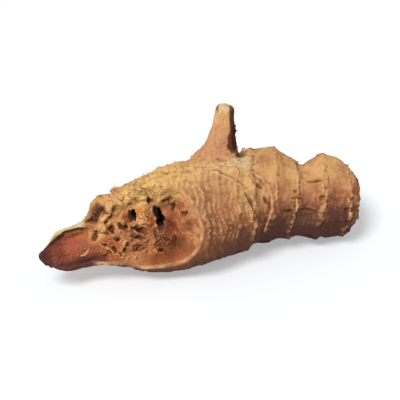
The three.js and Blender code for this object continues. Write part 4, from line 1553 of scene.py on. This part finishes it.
fibre_paint, wire, shader = new_material("dry_fibre")
tone = wire.stored("tone")
fibre_colour = wire.mix(tone.between(0.0, 0.6), paint(*UMBER), paint(*BUFF))
fibre_colour = wire.mix(tone.between(0.5, 1.0), fibre_colour, paint(*CREAM))
fibre_colour.plug_into(shader, "Base Color")
shader.inputs["Roughness"].default_value = 0.8
fibres.data.materials.append(fibre_paint)
select_only(fibres)
bpy.ops.object.shade_smooth()
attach(fibres, "root")
print("the fibres have", len(fibres.data.polygons), "faces")

# %% [markdown]
# ## Scraps of old leaves
#
# On top of the rhizome the leaf rings still carry scraps of the scale leaves: thin, brittle, pale,
# with torn edges. They are too small for a simulated sheet to be worth its time. One scrap is
# modelled as a small grid. Each copy is laid on the skin just in front of a ring, its free edge torn
# by noise and lifted, and a Solidify modifier gives it its thickness.

# %% One scrap
SCRAP_WIDE = 16
SCRAP_LONG = 3

bpy.ops.object.select_all(action="DESELECT")
bpy.ops.mesh.primitive_grid_add(x_subdivisions=SCRAP_WIDE, y_subdivisions=SCRAP_LONG, size=2)
scrap = bpy.context.object
scrap_points = read_points(scrap.data) * MM
scrap_faces = [list(face.vertices) for face in scrap.data.polygons]
bpy.data.objects.remove(scrap)
RAY_START = 12


def on_skin(at, around, lift):
    """The point of the skin at a place along and around the stem, lifted off it."""
    k = min(np.searchsorted(line_at, at), len(line) - 1)
    way = line_back[k] * np.cos(around) + line_up[k] * np.sin(around)
    spot, normal, _, _ = skin_tree.ray_cast(Vector(line[k] + RAY_START * way), Vector(-way))
    return spot + normal * lift


print("one scrap has", len(scrap_faces), "faces")

# %% Lay the scraps
# The ring that a scrap grows from and how far round it sits (degrees).
SCRAP_PLACES = (
    (4, 112), (4, 150), (5, 96), (5, 122), (5, 150), (5, 178), (6, 60), (6, 96), (6, 140), (7, 20),
    (7, 118), (7, 160), (8, 35), (8, 80), (8, 122), (8, 150), (9, 60), (9, 100), (9, 132), (9, 163),
)
# How far out scraps lie on average, to turn their width into an angle, and how far behind the
# ring's edge they start (mm).
SCRAP_RADIUS = 7.2
SCRAP_SET_BACK = 0.25
SCRAP_THICKNESS = 0.06 * MM

scraps = []
for ring, around in SCRAP_PLACES:
    at, forward, *_ = RINGS[ring]
    half_width = random.uniform(0.9, 2.0)
    length = random.uniform(0.35, 0.75)
    lift = random.uniform(0.02, 0.14)
    laid = []
    for x, y, _ in scrap_points:
        turn = np.radians(around) + x * half_width / SCRAP_RADIUS
        torn_back = 0.75 + 0.75 * noise.noise((2.6 * x * half_width + around, ring, 0.5))
        reach = length * (0.5 + 0.5 * y) * max(torn_back, 0.05) * (1.02 - x**4)
        rise = 0.02 + lift * (0.5 + 0.5 * y) ** 1.5 * (1.02 - x**4)
        laid.append(on_skin(at + forward * np.cos(turn) - SCRAP_SET_BACK + reach, turn, rise))
    scraps.append(np.array(laid))

leaf_scraps = join_copies("leaf_scraps", scraps, scrap_faces)
thick = leaf_scraps.modifiers.new("thickness", "SOLIDIFY")
thick.thickness = SCRAP_THICKNESS
thick.offset = 0
apply_modifier(leaf_scraps, "thickness")
print(len(scraps), "scraps have", len(leaf_scraps.data.polygons), "faces")

# %% Finish the scraps
scrap_paint, wire, shader = new_material("dry_leaf")
object_place = wire.node("ShaderNodeTexCoord", {}, {}, out="Object")
mottle = wire.noise(object_place, 1400.0, 4.0, 0.6)
scrap_colour = wire.mix(mottle.between(0.35, 0.65), paint(*PEACH), paint(*BUFF))
scrap_colour.plug_into(shader, "Base Color")
shader.inputs["Roughness"].default_value = 0.8
leaf_scraps.data.materials.append(scrap_paint)
select_only(leaf_scraps)
bpy.ops.object.shade_smooth()
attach(leaf_scraps, "root")
print("the dry leaf's material has", len(scrap_paint.node_tree.nodes), "nodes")
